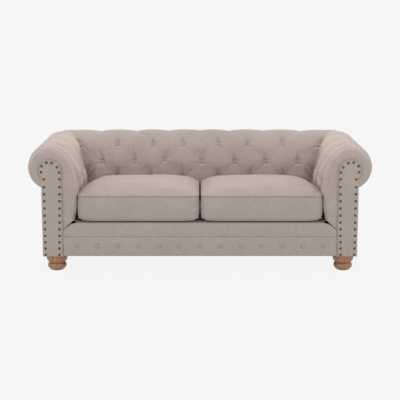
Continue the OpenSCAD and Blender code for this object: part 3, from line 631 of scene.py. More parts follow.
# Creases of the back that run far: half pitch and row of the button, way in which the crease leaves it,
# and length. Ways: 0 down to the right, 1 up to the left, 2 down to the left, 3 up to the right.
LONG_CREASES = (
    (-2, 2, 3, 0.125), (-2, 2, 0, 0.085), (-2, 2, 2, 0.045), (-6, 2, 0, 0.055), (-1, 3, 3, 0.090),
    (4, 2, 2, 0.050), (5, 3, 1, 0.070), (2, 2, 1, 0.060))


def soft_v(t, width):
    """The size of t, with its corner at 0 rounded off over a width."""
    return np.sqrt(t * t + width * width) - width


def tuft(plan, p_even, q_even):
    """How far the cloth is drawn in at half pitch p and row q.

    Between the pleats, which run where p + q or p - q is even, the padding swells softly with the product
    of two sines. Each button has a dimple. A thin crease leaves it along each pleat and dies out at a length
    of its own, and two folds run up from it like a narrow V with a hollow between them. Past the crest the
    pleats run straight over the roll and fade. The arms are gathered more, so all this is deeper on them.
    """
    p, q = pattern_at(plan, p_even, q_even)
    rows = np.clip(q, 0, 3)
    s, t = (p + rows) / 2, (p - rows) / 2
    swell = np.abs(np.sin(np.pi * s) * np.sin(np.pi * t))
    at_p, at_q = np.round(s) + np.round(t), np.round(s) - np.round(t)
    real = (at_q >= 1) & (at_q <= 3) & (np.abs(at_p) <= plan.last)
    on_arm = smooth((np.abs(p) - plan.back_bays) / 0.8)
    on_crest = smooth((0.95 - q) / 0.7)
    row_length = np.select([q < 1, q < 2], [0.125, plan.rows[0] - plan.rows[1]], plan.rows[1] - plan.rows[2])
    dx, dz = (p - at_p) * plan.half_pitch, (at_q - q) * row_length
    reach = np.hypot(dx, dz)
    turn = np.arctan2(dx, dz)

    roll_fade = blend(0.66, 0.95, on_arm)
    fade_roll = np.clip(1 + np.minimum(q, 0) / roll_fade, 0, 1)
    fade_front = np.clip(1 + (plan.last - np.abs(p)) * 0.8, 0, 1)
    fade_low = blend(1.0, 0.5, np.clip(q - 3, 0, 1))
    fade = fade_front * fade_roll * fade_low

    rounding = np.where(q < 1, blend(0.05, 0.34, smooth(q / 0.7)), 0.34)
    full = (soft_v(swell, rounding) / soft_v(1.0, rounding))**blend(0.50, 0.9, smooth(q))
    full = blend(full, 1.0, on_crest * smooth((np.abs(p) - plan.back_bays + 0.9) / 0.5) * (1 - on_arm))
    shallow = np.where((at_p == 0) & (at_q == 0), 0.5, 1.0)
    strength = plan.pleat_depth * shallow * blend(blend(0.68, 1.0, on_crest), 1.6, on_arm) * (
        0.8 + 0.4 * scatter(at_p, at_q, 9.0))
    depth = strength * (1 - full) * fade

    line = np.minimum(np.abs(s - np.round(s)), np.abs(t - np.round(t))) * 0.167
    along_s = np.abs(s - np.round(s)) < np.abs(t - np.round(t))
    way = 2.0 * along_s + (dz > 0)
    length = 0.014 + blend(0.020, 0.100, on_arm) * scatter(at_p + 0.37 * way, at_q, 4.0)
    for long_p, long_q, long_way, value in LONG_CREASES:
        length = np.where((at_p == long_p) & (at_q == long_q) & (way == long_way), value, length)
    crease = CREASE_DEPTH * bell(line, CREASE_WIDTH) * smooth((length - reach) / 0.02 + 0.5)
    depth += crease * fade

    pulled = 1 + 0.6 * on_arm
    dimple = plan.button_depth * pulled * np.clip(1 - reach / (DIMPLE_REACH + 0.012 * on_arm), 0, 1)**1.8
    ring = RING_DEPTH * bell(reach - RING_RADIUS, RING_WIDTH)
    lip = -0.0030 * np.exp(-(dx / 0.016)**2 - ((dz + 0.026) / 0.009)**2)
    gathers = GATHER_DEPTH * np.cos(7 * turn + 6.28 * scatter(at_p, at_q)) * (
        reach / GATHER_RADIUS) * np.exp(1 - reach / GATHER_RADIUS)
    tall = np.select([at_q == 1, at_q == 2], [0.040, 0.082], 0.086) * (
        0.85 + 0.3 * scatter(at_p, at_q, 6.0))
    spread = 0.09 + 0.12 * scatter(at_p, at_q, 7.0)
    window = between(dz, 0.004, 0.012, tall, 0.5 * tall)
    hollow = HOLLOW_DEPTH * pulled * bell(dx, 0.007 + spread * dz) * window
    folds = np.zeros_like(reach)
    for k, hand in enumerate((-1.0, 1.0)):
        off = dx - hand * (0.0035 + spread * dz) * (0.7 + 0.6 * scatter(at_p + k, at_q, 2.0))
        reach_up = smooth((tall * (0.55 + 0.6 * scatter(at_p, at_q + k, 5.0)) - dz) / 0.014)
        folds += FOLD_DEPTH * pulled * bell(off, FOLD_WIDTH) * reach_up * smooth((dz - 0.002) / 0.010)
    depth += real * (dimple + ring + lip + gathers + hollow + folds)

    corner_x = (np.abs(p_even) - plan.back_bays) * plan.half_pitch
    corner_z = np.interp(q_even, (0, 1, 2, 3, 4), (0.8, *plan.rows, plan.deck)) - CORNER_FOLD_FOOT
    far = np.hypot(corner_x, corner_z)
    angle = np.arctan2(-corner_x, corner_z)
    for lean, length in CORNER_FOLDS:
        side = far * np.sin(angle - lean)
        window = between(far, 0.006, 0.02, length, 0.05)
        depth += CORNER_FOLD_DEPTH * bell(side, 0.0028 + 0.02 * far) * window * (np.cos(angle - lean) > 0) * (
            np.abs(p_even) < plan.back_bays + 0.02)
    return depth + 0.0010 * ripple(p_even * plan.half_pitch, q_even * 0.11, 0.10, 1.0)


def inset(plan, q, depth):
    """Section points drawn in by a depth along the outward normal."""
    points, normals = section(plan, q)
    return points - normals * np.asarray(depth)[..., None]


def back_place(plan, p, uz):
    """Place section points on the back at half pitch p. The last bay leans to the mitre at the corner."""
    a = np.abs(p)
    last = plan.back_bays - 1
    mitre = plan.axis_x - uz[..., 0] - GAP / 2
    x = np.where(a <= last, a * plan.half_pitch, blend(last * plan.half_pitch, mitre, a - last))
    return stacked(np.sign(p) * x, plan.axis_y - uz[..., 0], uz[..., 1])


def arm_points(plan, y, uz):
    """Place section points on the left arm at y."""
    return stacked(-plan.axis_x + uz[..., 0], y, uz[..., 1])


def arm_place(plan, k, uz):
    """Place section points on the left arm at bay k from the corner. The first bay leans to the mitre."""
    mitre = plan.axis_y - uz[..., 0] - GAP / 2
    y = np.where(k < 1, blend(mitre, plan.corner_y - plan.half_pitch, k), plan.corner_y - k * plan.half_pitch)
    return arm_points(plan, y, uz)


def padded_shell(skin, uv, first, last):
    """Close a pad: its skin, a plain hollow face behind it, and strips that join their edges."""
    patches = [(skin, uv)]
    patches += [np.stack(pair, axis=1) for pair in ((first, last), (skin[:, 0], first), (skin[:, -1], last))]
    for edge in (-1, 0):
        patches.append(fan(skin[edge], first[edge]))
        patches.append(np.array([[skin[edge, -1], last[edge]], [first[edge], first[edge]]]))
    return patches


def corner_ease(plan, bay, q, low=2.55, spread=0.090):
    """How the rolls turn softly at their outer corner. bay counts half pitches from it.

    The crest is drawn in, the shoulder past it swells a little, and the widest part follows an arc in plan.
    Below the first row the inner faces are pulled into the corner, down to row low.
    """
    turn = np.clip(-q, 0, 1) * plan.over_angle
    far = bay * plan.half_pitch
    crest = 0.0085 * bell(turn - 0.42, 0.42) + 0.006 * bell(turn - 0.24, 0.16)
    shoulder = 0.009 * bell(turn - 1.05, 0.32)
    pulled = 0.022 * between(q, 0.9, 0.8, low, 0.4)
    first = (1 - math.sqrt(0.5)) * CORNER_ROUND
    along = first + bay * (plan.roll_radius + plan.axis_y - plan.corner_y + plan.half_pitch - first)
    arc = CORNER_ROUND - np.sqrt(CORNER_ROUND**2 - np.clip(CORNER_ROUND - along, 0, CORNER_ROUND)**2)
    widest = between(turn, 1.10, 0.45, plan.over_angle, 0.45)
    return (crest * bell(far, 0.070) - shoulder * bell(far, 0.20)
            + pulled * bell(far, spread) + arc * widest)


def round_size(plan, q):
    """Depth of the front's rounding and its reach towards the roll's middle. Both are largest on top."""
    on_top = between(q, -0.62, 0.3, 1.3, 0.8)
    return plan.front_round * (1.0 + 0.75 * on_top), plan.front_round * (1.1 + 0.65 * on_top)


def rounded_off(plan, q, y):
    """How far the rounding draws the section in at y: a quarter ellipse."""
    deep, reach = round_size(plan, q)
    return reach * quarter_round((plan.arm_front - FRONT_OVERHANG + deep - y) / deep)


def front_ease(plan, q):
    """How far an arm's section is drawn in near its front: at its foot, and less than none under the roll."""
    turn = np.clip(-q, 0, 1) * plan.over_angle
    under_roll = 0.007 * bell(turn - 2.2, 0.75) + 0.003 * bell(turn - 1.5, 0.45)
    return 0.016 * smooth((q - 3.45) / 0.5) - under_roll


def back_patches(plan):
    """Skin of the back from mitre to mitre."""
    q, along = even_rows(plan, SECTION_ROWS)
    p = np.linspace(-plan.back_bays, plan.back_bays, 2 * plan.back_bays * BAY_COLUMNS + 1)
    q_grid, p_grid = np.meshgrid(q, p, indexing="ij")
    bay = plan.back_bays - np.abs(p_grid)
    depth = tuft(plan, p_grid, q_grid)
    depth += corner_ease(plan, bay, q_grid, 2.55 + smooth(bay / 0.3), 0.045)
    skin = back_place(plan, p_grid, inset(plan, q_grid, depth))
    hollow = inset(plan, q, np.full_like(q, plan.foam))
    ends = [back_place(plan, corner, hollow) for corner in (-plan.back_bays, plan.back_bays)]
    return padded_shell(skin, stacked(p_grid * plan.half_pitch, along[:, None]), *ends)


# Forms of the arms' upholstery, in metres: the groove of the gathered seam behind its front edge, how far
# the inner face is drawn in towards the rear, and the puff there.
SEAM_PLACE, SEAM_DEPTH, SEAM_WIDTH = 0.036, 0.0105, 0.012
INNER_DRAW = 0.013
PUFF_RISE = 0.007

# Folds that cross the arms: half pitch from the corner at the crest and at row 2.5, highest and lowest row,
# depth and half width.
ARM_FOLDS = (
    (4.50, 4.40, -0.50, 3.2, 0.0150, 0.0160), (2.45, 2.35, -0.50, 3.0, 0.0130, 0.0160),
    (5.42, 5.25, 0.25, 2.8, 0.0060, 0.0080), (3.50, 3.30, -0.30, 2.8, 0.0060, 0.0090))


def arm_patches(plan, side):
    """Skin of the left arm from the mitre to its rounded front edge.

    Long folds cross the roll and run down the inner face, and a groove behind the front edge shows where
    the cloth is gathered. The inner face is drawn in towards the rear, where one puff stands out.
    """
    q, along = even_rows(plan, SECTION_ROWS)
    last_y = plan.corner_y - plan.arm_bays * plan.half_pitch
    bays = np.linspace(0, plan.arm_bays, plan.arm_bays * BAY_COLUMNS + 1)
    towards = 1 - (1 - np.linspace(0, 1, 64)[1:])**1.5
    k = np.concatenate([bays, (plan.corner_y - blend(last_y, plan.arm_front, towards)) / plan.half_pitch])

    q_grid, k_grid = np.meshgrid(q, k, indexing="ij")
    p_grid = plan.back_bays + k_grid
    y_grid = plan.corner_y - k_grid * plan.half_pitch
    depth = tuft(plan, p_grid, q_grid) + corner_ease(plan, k_grid, q_grid) + rounded_off(plan, q_grid, y_grid)
    depth += front_ease(plan, q_grid) * smooth((k_grid - 3.0) / 2.2)
    inner = between(q_grid, 0.8, 0.6, 2.50, 0.25)
    depth += INNER_DRAW * inner * smooth((3.2 - k_grid) / 2.0) * smooth(k_grid / 0.6)
    puff = between(q_grid, 2.2, 0.45, 3.7, 0.4)
    depth -= PUFF_RISE * puff * bell(k_grid - 0.55, 0.5)
    on_roll = between(q_grid, -0.75, 0.2, 3.1, 0.8)
    seam = plan.arm_front + SEAM_PLACE + 0.005 * ripple(q_grid * 0.2, 0, 0.3, 21.0 + side)
    gathered = 0.8 + 0.35 * ripple(q_grid * 0.3, 0, 0.12, 23.0 + side)
    depth += SEAM_DEPTH * gathered * bell(y_grid - seam, SEAM_WIDTH) * on_roll
    past_crest = blend(0.45, 1.0, smooth((q_grid + 0.1) / 0.8))
    for crest_k, low_k, top, low, deep, wide in ARM_FOLDS:
        line = blend(crest_k, low_k, smooth(q_grid / 2.5)) + 0.05 * np.sin(q_grid * 2.1 + side + crest_k)
        window = between(q_grid, top, 0.35, low + 0.4, 0.8)
        depth += deep * past_crest * bell((k_grid - line) * plan.half_pitch, wide) * window
    skin = arm_place(plan, k_grid, inset(plan, q_grid, depth))
    uv = stacked(k_grid * plan.half_pitch, along[:, None])
    hollow = inset(plan, q, np.full_like(q, plan.foam))
    ends = arm_place(plan, 0, hollow), arm_points(plan, plan.arm_front, hollow)
    return mirrored(padded_shell(skin, uv, *ends), side)


class SOFA_OT_back(bpy.types.Operator):
    """Deep-buttoned back, from one corner to the other"""

    bl_idname = "sofa.back"
    bl_label = "Back"

    def execute(self, context):
        plan, colours = user_choices(context)
        cloth = woven_cloth("back_cloth", colours.cloth)
        place(make_piece("back_upholstery", back_patches(plan), cloth), "back_pad")
        return {"FINISHED"}


class SOFA_OT_arms(bpy.types.Operator):
    """Deep-buttoned arms, from the corners to their rounded fronts"""

    bl_idname = "sofa.arms"
    bl_label = "Arms"

    def execute(self, context):
        plan, colours = user_choices(context)
        # The arms' cloth is 8 % lighter than the same cloth elsewhere: painted light, for the arms' brightly
        # lit tops and inner faces.
        cloth = woven_cloth("arm_cloth_painted_light", colours.cloth, 1.08)
        for name, side in SIDES.items():
            piece = make_piece(f"arm_upholstery_{name}", arm_patches(plan, side), cloth)
            place(piece, f"arm_pad_{name}")
        return {"FINISHED"}


def button_patches(centres, normals, radius, seed):
    """Covered buttons: each a flattened dome over a tucked-in rim, with faint gathers round the rim."""
    turn = np.linspace(0, 2 * np.pi, 25)
    rise = np.array([-0.55, -0.35, -0.1, 0.12, 0.35, 0.6, 0.82, 0.95, 1.0])
    width = np.array([0.0, 0.86, 1.0, 0.99, 0.92, 0.76, 0.52, 0.26, 0.0])
    patches = []
    for i, (centre, normal) in enumerate(zip(centres, normals)):
        first = np.cross(normal, [0.3, 0.4, 1.0])
        first /= np.linalg.norm(first)
        second = np.cross(normal, first)
        gather = 1 + 0.03 * np.cos(7 * turn + 6.28 * scatter(i, 1.0, seed)) * (width[:, None] > 0.8)
        ring = width[:, None] * gather * radius
        uv = stacked(ring * np.cos(turn), ring * np.sin(turn))
        grid = (centre + ring[..., None] * (first * np.cos(turn)[:, None] + second * np.sin(turn)[:, None])
                + normal * (rise * BUTTON_HEIGHT)[:, None, None])
        patches.append((grid, uv))
    return patches


def tufted_buttons(plan, bays, placed, direction, first_p=0):
    """Middles and directions of the buttons on the given bays, sunk into their dimples.

    A button lies where the half pitch from the back's middle and the row add up to an even number.
    """
    centres, normals = [], []
    for q in (1, 2, 3):
        for k in bays:
            if (k + first_p + q) % 2:
                continue
            goal = np.array([k + first_p, q], dtype=float)
            at = goal.copy()
            for _ in range(8):
                at += goal - np.array(pattern_at(plan, *at))
            uz = inset(plan, at[1], tuft(plan, *at) - BUTTON_LIFT)
            centres.append(placed(plan, at[0] - first_p, uz))
            normals.append(direction(k, section(plan, at[1])[1]))
    return centres, normals


def border_button_middles(count=13):
    """Middles of the buttons on the lower band, spread evenly over their node's box."""
    low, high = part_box("border_buttons")
    radius = (high[2] - low[2]) / 2
    x = np.linspace(low[0] + radius, high[0] - radius, count)
    return stacked(x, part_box("border_lower")[0][1] - 0.0005, (low[2] + high[2]) / 2)


class SOFA_OT_buttons(bpy.types.Operator):
    """Covered buttons of the back, the arms and the front border"""

    bl_idname = "sofa.buttons"
    bl_label = "Buttons"

    def execute(self, context):
        plan, colours = user_choices(context)
        cloth = woven_cloth("button_cloth", colours.cloth, 0.97, crumple=0.2)

        def add(name, node, buttons, seed, side=-1):
            patches = mirrored(button_patches(*buttons, plan.button_radius, seed), side)
            place(make_piece(name, patches, cloth), node)

        def back_direction(p, normal):
            corner = math.sqrt(0.5) if abs(p) == plan.back_bays else 0.0
            forward = math.sqrt(1 - corner**2)
            return np.array([-np.sign(p) * corner * normal[0], -forward * normal[0], normal[1]])

        def arm_direction(k, normal):
            return np.array([normal[0], 0.0, normal[1]])

        on_back = tufted_buttons(
            plan, range(-plan.back_bays, plan.back_bays + 1), back_place, back_direction)
        add("back_covered_buttons", "back_buttons", on_back, 1)
        on_arm = tufted_buttons(
            plan, range(1, plan.arm_bays + 1), arm_place, arm_direction, plan.back_bays)
        for name, side in SIDES.items():
            add(f"arm_covered_buttons_{name}", f"arm_buttons_{name}", on_arm, 2, side)
        middles = border_button_middles()
        on_border = middles, [np.array([0.0, -1.0, 0.0])] * len(middles)
        add("border_covered_buttons", "border_buttons", on_border, 3)
        return {"FINISHED"}


# Fronts of the arms


def dense(points):
    """Points about 5 mm apart along a chain of straight lines."""
    points = np.asarray(points, dtype=float)
    along = distance_along(points)
    steps = np.linspace(0, along[-1], max(2, int(round(along[-1] / 0.005)) + 1))
    return stacked(*[np.interp(steps, along, points[:, k]) for k in (0, 1)])


def front_section(plan, q):
    """Section points where an arm's cloth meets the padded front."""
    return inset(plan, q, rounded_off(plan, q, plan.arm_front) + front_ease(plan, q))


def front_outline(plan):
    """Edge of an arm's front in section coordinates, how round the front is there, and its rows.

    It runs up the inner side, round the roll, and down the outer side. It ends at the outer lower corner.
    """
    inner = plan.axis_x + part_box("border_lower")[0][0] - GAP
    start = front_section(plan, np.array(4.0))
    straight = dense([(inner, plan.base), (inner, plan.shoulder)])
    slope = dense([(inner, plan.shoulder), start])
    q = even_rows(plan, 220)[0][::-1]
    roll = front_section(plan, q)
    outer = dense([(plan.panel, roll[-1, 1] - 0.012), (plan.panel, plan.base)])
    chain = np.concatenate([straight[:-1], slope[:-1], roll, outer])
    on_slope = 0.35 * np.linspace(0, 1, len(slope) - 1)
    on_roll = (smooth((4.0 - q) / 0.35) * 0.65 + 0.35) * smooth((q + 1) / 0.12)
    ends = len(straight) + len(slope) - 2, len(outer)
    weight = np.pad(np.concatenate([on_slope, on_roll]), (len(straight) - 1, len(outer)))
    return chain, weight, np.pad(q, ends, constant_values=4.0)


def head_place(plan):
    """Middle and radius of the facing's round head."""
    radius = FACING_HIGH[2] - HEAD_HEIGHT
    return plan.facing_in - radius, HEAD_HEIGHT, radius


def front_rays(plan, outline):
    """Close an outline along its foot, and find the way from each point to the facing's middle line.

    Returns the closed outline, the points of the middle line that are level with its points, and how far
    they are from them.
    """
    chain = np.concatenate([outline, dense([outline[-1], outline[0]])[1:]])
    head_u, head_z, _ = head_place(plan)
    z = np.clip(chain[:, 1], plan.base + 0.05, head_z)
    mid = (plan.panel + plan.facing_in) / 2
    spine = stacked(blend(mid, head_u, smooth((z - head_z + 0.15) / 0.15)), z)
    return chain, spine, np.linalg.norm(spine - chain, axis=1)


def front_roll_patches(plan, side):
    """Padded front of an arm: a ring of cloth from the rounded edge to under the facing.

    Its face follows a quarter ellipse from the edge, and small pleats run inwards round the roll.
    """
    outline, weight, rows = front_outline(plan)
    chain, spine, distance = front_rays(plan, outline)
    foot = 0, len(chain) - len(outline)
    weight, rows = np.pad(weight, foot)[:, None], np.pad(rows, foot, constant_values=4.0)[:, None]
    share = np.concatenate([np.linspace(0, 0.45, 22), np.linspace(0.45, 0.8, 7)[1:]])
    grid_uz = blend(chain[:, None], spine[:, None], share[None, :, None])
    drawn = distance[:, None] * share

    face = plan.arm_front - FRONT_OVERHANG
    deep, reach = round_size(plan, rows)
    first = rounded_off(plan, rows, plan.arm_front)
    round_y = face + deep * quarter_round(1 - (drawn + first) / reach)
    flat_y = face + 0.003 * quarter_round(1 - drawn / 0.003)
    along = distance_along(chain)
    gather = np.sin(2 * math.pi * along / 0.034 + 1.5 * np.sin(along * 19 + side))
    gather = np.clip(gather, 0, 1)[:, None]**3 * weight
    y = blend(flat_y, round_y, weight)
    y = y + 0.0022 * gather * bell(drawn - 0.012, 0.022) * smooth(drawn / 0.006)
    y = y + 0.0010 * ripple(grid_uz[..., 0], grid_uz[..., 1], 0.11, 31.0 + side)

    front = arm_points(plan, y, grid_uz)
    back = front[:, [0, -1]].copy()
    back[..., 1] = plan.arm_front
    edges = [np.stack([front[:, k], back[:, k]], axis=1) for k in (0, -1)]
    return mirrored([(front, grid_uz), back, *edges], side)


def head_arc(plan, reach):
    """Arc round the facing's head, from its inner side to the outer panel."""
    head_u, head_z, _ = head_place(plan)
    end = math.acos(np.clip((head_u - plan.panel) / reach, -1, 1))
    angle = np.linspace(0, math.pi + end, 90)
    return stacked(head_u + reach * np.cos(angle), head_z + reach * np.sin(angle))


def facing_outline(plan):
    """Edge of the arched facing: straight sides and a round head."""
    _, head_z, radius = head_place(plan)
    head = head_arc(plan, radius)
    inner = dense([(plan.facing_in, plan.base), (plan.facing_in, head_z)])
    outer = dense([head[-1], (plan.panel, plan.base)])
    return np.concatenate([inner[:-1], head, outer[1:]])


def facing_patches(plan, side):
    """Arched facing: a thin padded board with a rounded edge and a slightly domed front."""
    chain, spine, distance = front_rays(plan, facing_outline(plan))
    edge = 0.005
    turn = np.linspace(0, math.pi / 2, 6)
    drawn = np.concatenate([edge * (1 - np.cos(turn)), np.linspace(edge, 0.05, 12)[1:]])
    rim_y = np.concatenate([edge * np.sin(turn), np.full(11, edge)])
    grid_uz = blend(chain[:, None], spine[:, None], (drawn / distance[:, None])[..., None])
    back_y = FACING_HIGH[1]
    dome = 0.0012 * smooth(drawn / 0.04)
    unevenness = 0.0006 * ripple(grid_uz[..., 0], grid_uz[..., 1], 0.07, 41.0 + side)
    y = back_y - (back_y - plan.front) * rim_y / edge - dome + unevenness
    front = arm_points(plan, y, grid_uz)
    rim = front[:, 0].copy()
    rim[:, 1] = back_y
    patches = [(front, grid_uz), np.stack([rim, front[:, 0]], axis=1)]
    return mirrored(patches, side), mirrored([front[:-1, -1], rim[:-1]], side)


def facing_welt_path(plan):
    """Line of the facing's piping, up the inner side and round the head to the outer edge, and its radius."""
    _, head_z, radius = head_place(plan)
    low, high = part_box("facing_piping_left")
    thick = (high[1] - low[1]) / 2
    head = head_arc(plan, radius + GAP + thick)
    upright = stacked(head[0, 0], np.linspace(plan.base + 0.001, head_z, 108)[:-1])
    return arm_points(plan, (low[1] + high[1]) / 2, np.concatenate([upright, head])), thick


# How far the nails round the head stand off their even places, from the inner side to the outer one.
HEAD_NAIL_SHIFTS = (
    (0.002, -0.008), (0.0, -0.009), (-0.003, -0.003), (-0.001, -0.001), (-0.003, -0.002), (0.004, -0.006))


def nail_places(plan, count=12):
    """Places of an arm's nails in section coordinates: two columns and an arc round the head.

    The outer column stands further from its edge, and the inner one leans outwards towards its foot. Both
    are closer together near the foot than near the head.
    """
    head_u, head_z, radius = head_place(plan)
    reach = radius - NAIL_INSET
    share = np.linspace(0, 1, count)
    column = blend(plan.base + NAIL_INSET, head_z - 0.8 * reach, share) - 0.014 * np.sin(math.pi * share)
    column = column - 0.0065 * bell(share - 0.93, 0.14)
    angle = np.linspace(0, math.pi, len(HEAD_NAIL_SHIFTS))
    head = np.array([head_u, head_z]) + reach * stacked(np.cos(angle), np.sin(angle))
    return np.concatenate([
        stacked(plan.panel + 0.018, column),
        stacked(plan.facing_in - blend(0.021, 0.010, share), column),
        head + np.array(HEAD_NAIL_SHIFTS)])


def nail_patches(plan, side):
    """Domed nail heads with slightly uneven rims."""
    turn = np.linspace(0, 2 * np.pi, 15)
    rise = np.array([-0.10, 0.0, 0.35, 0.65, 0.88, 1.0])
    width = np.array([0.93, 1.0, 0.93, 0.72, 0.42, 0.0])
    grids = []
    for i, (u, z) in enumerate(nail_places(plan)):
        size = plan.nail_radius * (0.96 + 0.08 * scatter(i, side, 5.0))
        wobble = 1 + 0.025 * np.cos(5 * turn + 6.28 * scatter(i, 2.0, side))
        radius = width[:, None] * size * wobble
        y = plan.front - rise[:, None] * size * 0.5 - 0.0008
        grids.append(stacked(-plan.axis_x + u + radius * np.cos(turn), y, z + radius * np.sin(turn)))
    return mirrored(grids, side), mirrored([grid[0, :-1] for grid in grids], side)


class SOFA_OT_arm_fronts(bpy.types.Operator):
    """Padded arm fronts with their arched facings, piping and nail heads"""

    bl_idname = "sofa.arm_fronts"
    bl_label = "Arm fronts"

    def execute(self, context):
        plan, colours = user_choices(context)
        # The padded fronts' cloth is 2 % lighter than the same cloth elsewhere: painted light, to go with the
        # arms' lit shoulders.
        cloth = woven_cloth("arm_front_cloth_painted_light", colours.cloth, 1.02)
        facing_cloth = woven_cloth("facing_cloth", colours.cloth, crumple=0.3)
        welt_cloth = woven_cloth("facing_welt_cloth", colours.cloth, 0.97, crumple=0.1)
        bronze = aged_bronze("nail_bronze", colours.bronze)
        for name, side in SIDES.items():
            roll = make_piece(f"arm_front_roll_{name}", front_roll_patches(plan, side), cloth)
            place(roll, f"arm_front_pad_{name}")
            patches, caps = facing_patches(plan, side)
            facing = make_piece(f"facing_panel_{name}", patches, facing_cloth, caps)
            place(facing, f"arm_facing_{name}")
            grid, uv = tube(*facing_welt_path(plan))
            patches, caps = mirrored([(grid, uv)], side), mirrored([grid[0, :-1], grid[-1, :-1]], side)
            welt = make_piece(f"facing_welt_{name}", patches, welt_cloth, caps)
            place(welt, f"facing_piping_{name}")
            patches, caps = nail_patches(plan, side)
            nails = make_piece(f"nail_heads_{name}", patches, bronze, caps, sharp=70)
            place(nails, f"facing_nails_{name}")
        return {"FINISHED"}


# The front border


def band_loop(low, high, low_radius, high_radius):
    """Closed outline of a band's section, as y and z: a bulging board with two rounded front edges."""
    turn = np.linspace(0, math.pi / 2, 8)
    sine, cosine = 1 - np.sin(turn), 1 - np.cos(turn)
    foot = stacked(low[1] + low_radius * sine, low[2] + low_radius * cosine)
    face_z = np.linspace(low[2] + low_radius, high[2] - high_radius, 22)[1:-1]
    share = (face_z - face_z[0]) / (face_z[-1] - face_z[0])
    face = stacked(low[1] - BAND_BULGE * np.sin(math.pi * share), face_z)
    head = stacked(low[1] + high_radius * cosine, high[2] - high_radius * sine)
    back = np.array([[high[1], high[2]], [high[1], low[2]]])
    return np.concatenate([foot, face, head, back, foot[:1]])


def band_patches(plan, node, low_radius, high_radius, seed, dimples=(), lowered=0.0):
    """A padded band across the sofa's front. Its ends follow the slope of the arms' fronts.

    The face swells between its seams, puckers a little along them, and dips round each button.
    """
    low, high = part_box(node)
    high = (high[0], high[1], high[2] - lowered)
    loop = band_loop(low, high, low_radius, high_radius)
    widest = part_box("border_upper")[1][0]
    slope = (plan.axis_x - front_section(plan, np.array(4.0))[0] - GAP) - widest
    past = slope * (loop[:, 1:] - plan.shoulder) / (plan.deck - plan.shoulder)
    half = np.where(loop[:, 1:] > plan.shoulder, widest + past, widest)
    s = np.linspace(-1, 1, 421)
    x = half * s
    y, z = (np.broadcast_to(loop[:, k:k + 1], x.shape).copy() for k in (0, 1))
    near_top = smooth((z - high[2] + 0.04) / 0.04)
    z -= lowered * near_top * smooth((np.abs(s) * half - half + 0.05) / 0.05)
    facing_front = smooth((high[1] - 0.004 - y) / 0.008)
    seams = bell(z - low[2], 0.016) + bell(high[2] - z, 0.016)
    pucker = 0.0014 * ripple(x, 0, 0.035, seed) * seams
    y += facing_front * (pucker + 0.0014 * ripple(x, z * 1.6, 0.16, seed + 3))
    for middle in dimples:
        reach = np.hypot(x - middle[0], z - middle[2])
        turn = np.arctan2(x - middle[0], z - middle[2])
        gathers = 0.0008 * np.cos(6 * turn + middle[0] * 40) * bell(reach - 0.022, 0.012)
        y += facing_front * (0.0055 * bell(reach, 0.017) + gathers)
    grid = stacked(x, y, z)
    return [(grid, stacked(x, distance_along(loop)[:, None]))], [grid[:-1, 0], grid[:-1, -1]]


class SOFA_OT_border(bpy.types.Operator):
    """Upper and lower band of the front border"""

    bl_idname = "sofa.border"
    bl_label = "Front border"

    def execute(self, context):
        plan, colours = user_choices(context)
        cloth = woven_cloth("border_cloth", colours.cloth)
        bands = {
            "upper": band_patches(plan, "border_upper", 0.004, 0.012, 51.0, lowered=0.008),
            "lower": band_patches(plan, "border_lower", 0.006, 0.004, 61.0, border_button_middles()),
        }
        for name, (patches, caps) in bands.items():
            piece = make_piece(f"border_band_{name}", patches, cloth, caps)
            place(piece, f"border_{name}")
        return {"FINISHED"}


# Seat cushions


def cushion_plan(plan, a, b, half, drawn):
    """Map a square from -1 to 1 onto a cushion's outline, drawn in by a depth all round.

    The outline is a rectangle with round corners whose sides pull in between them. In a corner's square the
    point moves to a quarter disc: each coordinate is multiplied by the root of 1 less half the other one's
    square.
    """
    half_x, half_y, corner = half[0] - drawn, half[1] - drawn, plan.cushion_corner - drawn
    x, y = np.abs(a) * half_x, np.abs(b) * half_y
    near_x, near_y = (x - half_x + corner) / corner, (y - half_y + corner) / corner
    inside = (near_x > 0) & (near_y > 0)
    round_x = half_x - corner + corner * near_x * np.sqrt(1 - np.clip(near_y, 0, 1)**2 / 2)
    round_y = half_y - corner + corner * near_y * np.sqrt(1 - np.clip(near_x, 0, 1)**2 / 2)
    x, y = np.where(inside, round_x, x), np.where(inside, round_y, y)
    x = x * (1 - CUSHION_PULL / half_x * (1 - b**2))
    y = y * (1 - CUSHION_PULL / half_y * (1 - a**2))
    return np.sign(a) * x, np.sign(b) * y


def square_edge(count_x, count_y):
    """Points round the edge of a square from -1 to 1, in order."""
    a, b = np.linspace(-1, 1, count_x + 1), np.linspace(-1, 1, count_y + 1)
    edge_a = np.concatenate([a[:-1], np.ones(count_y), a[:0:-1], -np.ones(count_y)])
    edge_b = np.concatenate([-np.ones(count_x), b[:-1], np.ones(count_x), b[:0:-1]])
    return edge_a, edge_b


LOW_WELT = 2.0  # height of a cushion's lower piping, in piping radii


def corner_lift(a, b):
    """How far the lower seam of a cushion rises towards the corners of its square."""
    return 0.012 * smooth((np.abs(a) - 0.74) / 0.26) * smooth((np.abs(b) - 0.6) / 0.4)


def corner_drop(a, b, side):
    """How far the upper seam of a cushion sinks towards its rear corners: most at the one beside the arm."""
    beside_arm = 0.028 * smooth((a * side - 0.64) / 0.36)
    beside_cushion = 0.008 * smooth((-a * side - 0.85) / 0.15)
    return (beside_arm + beside_cushion) * smooth((b + 0.2) / 1.2)


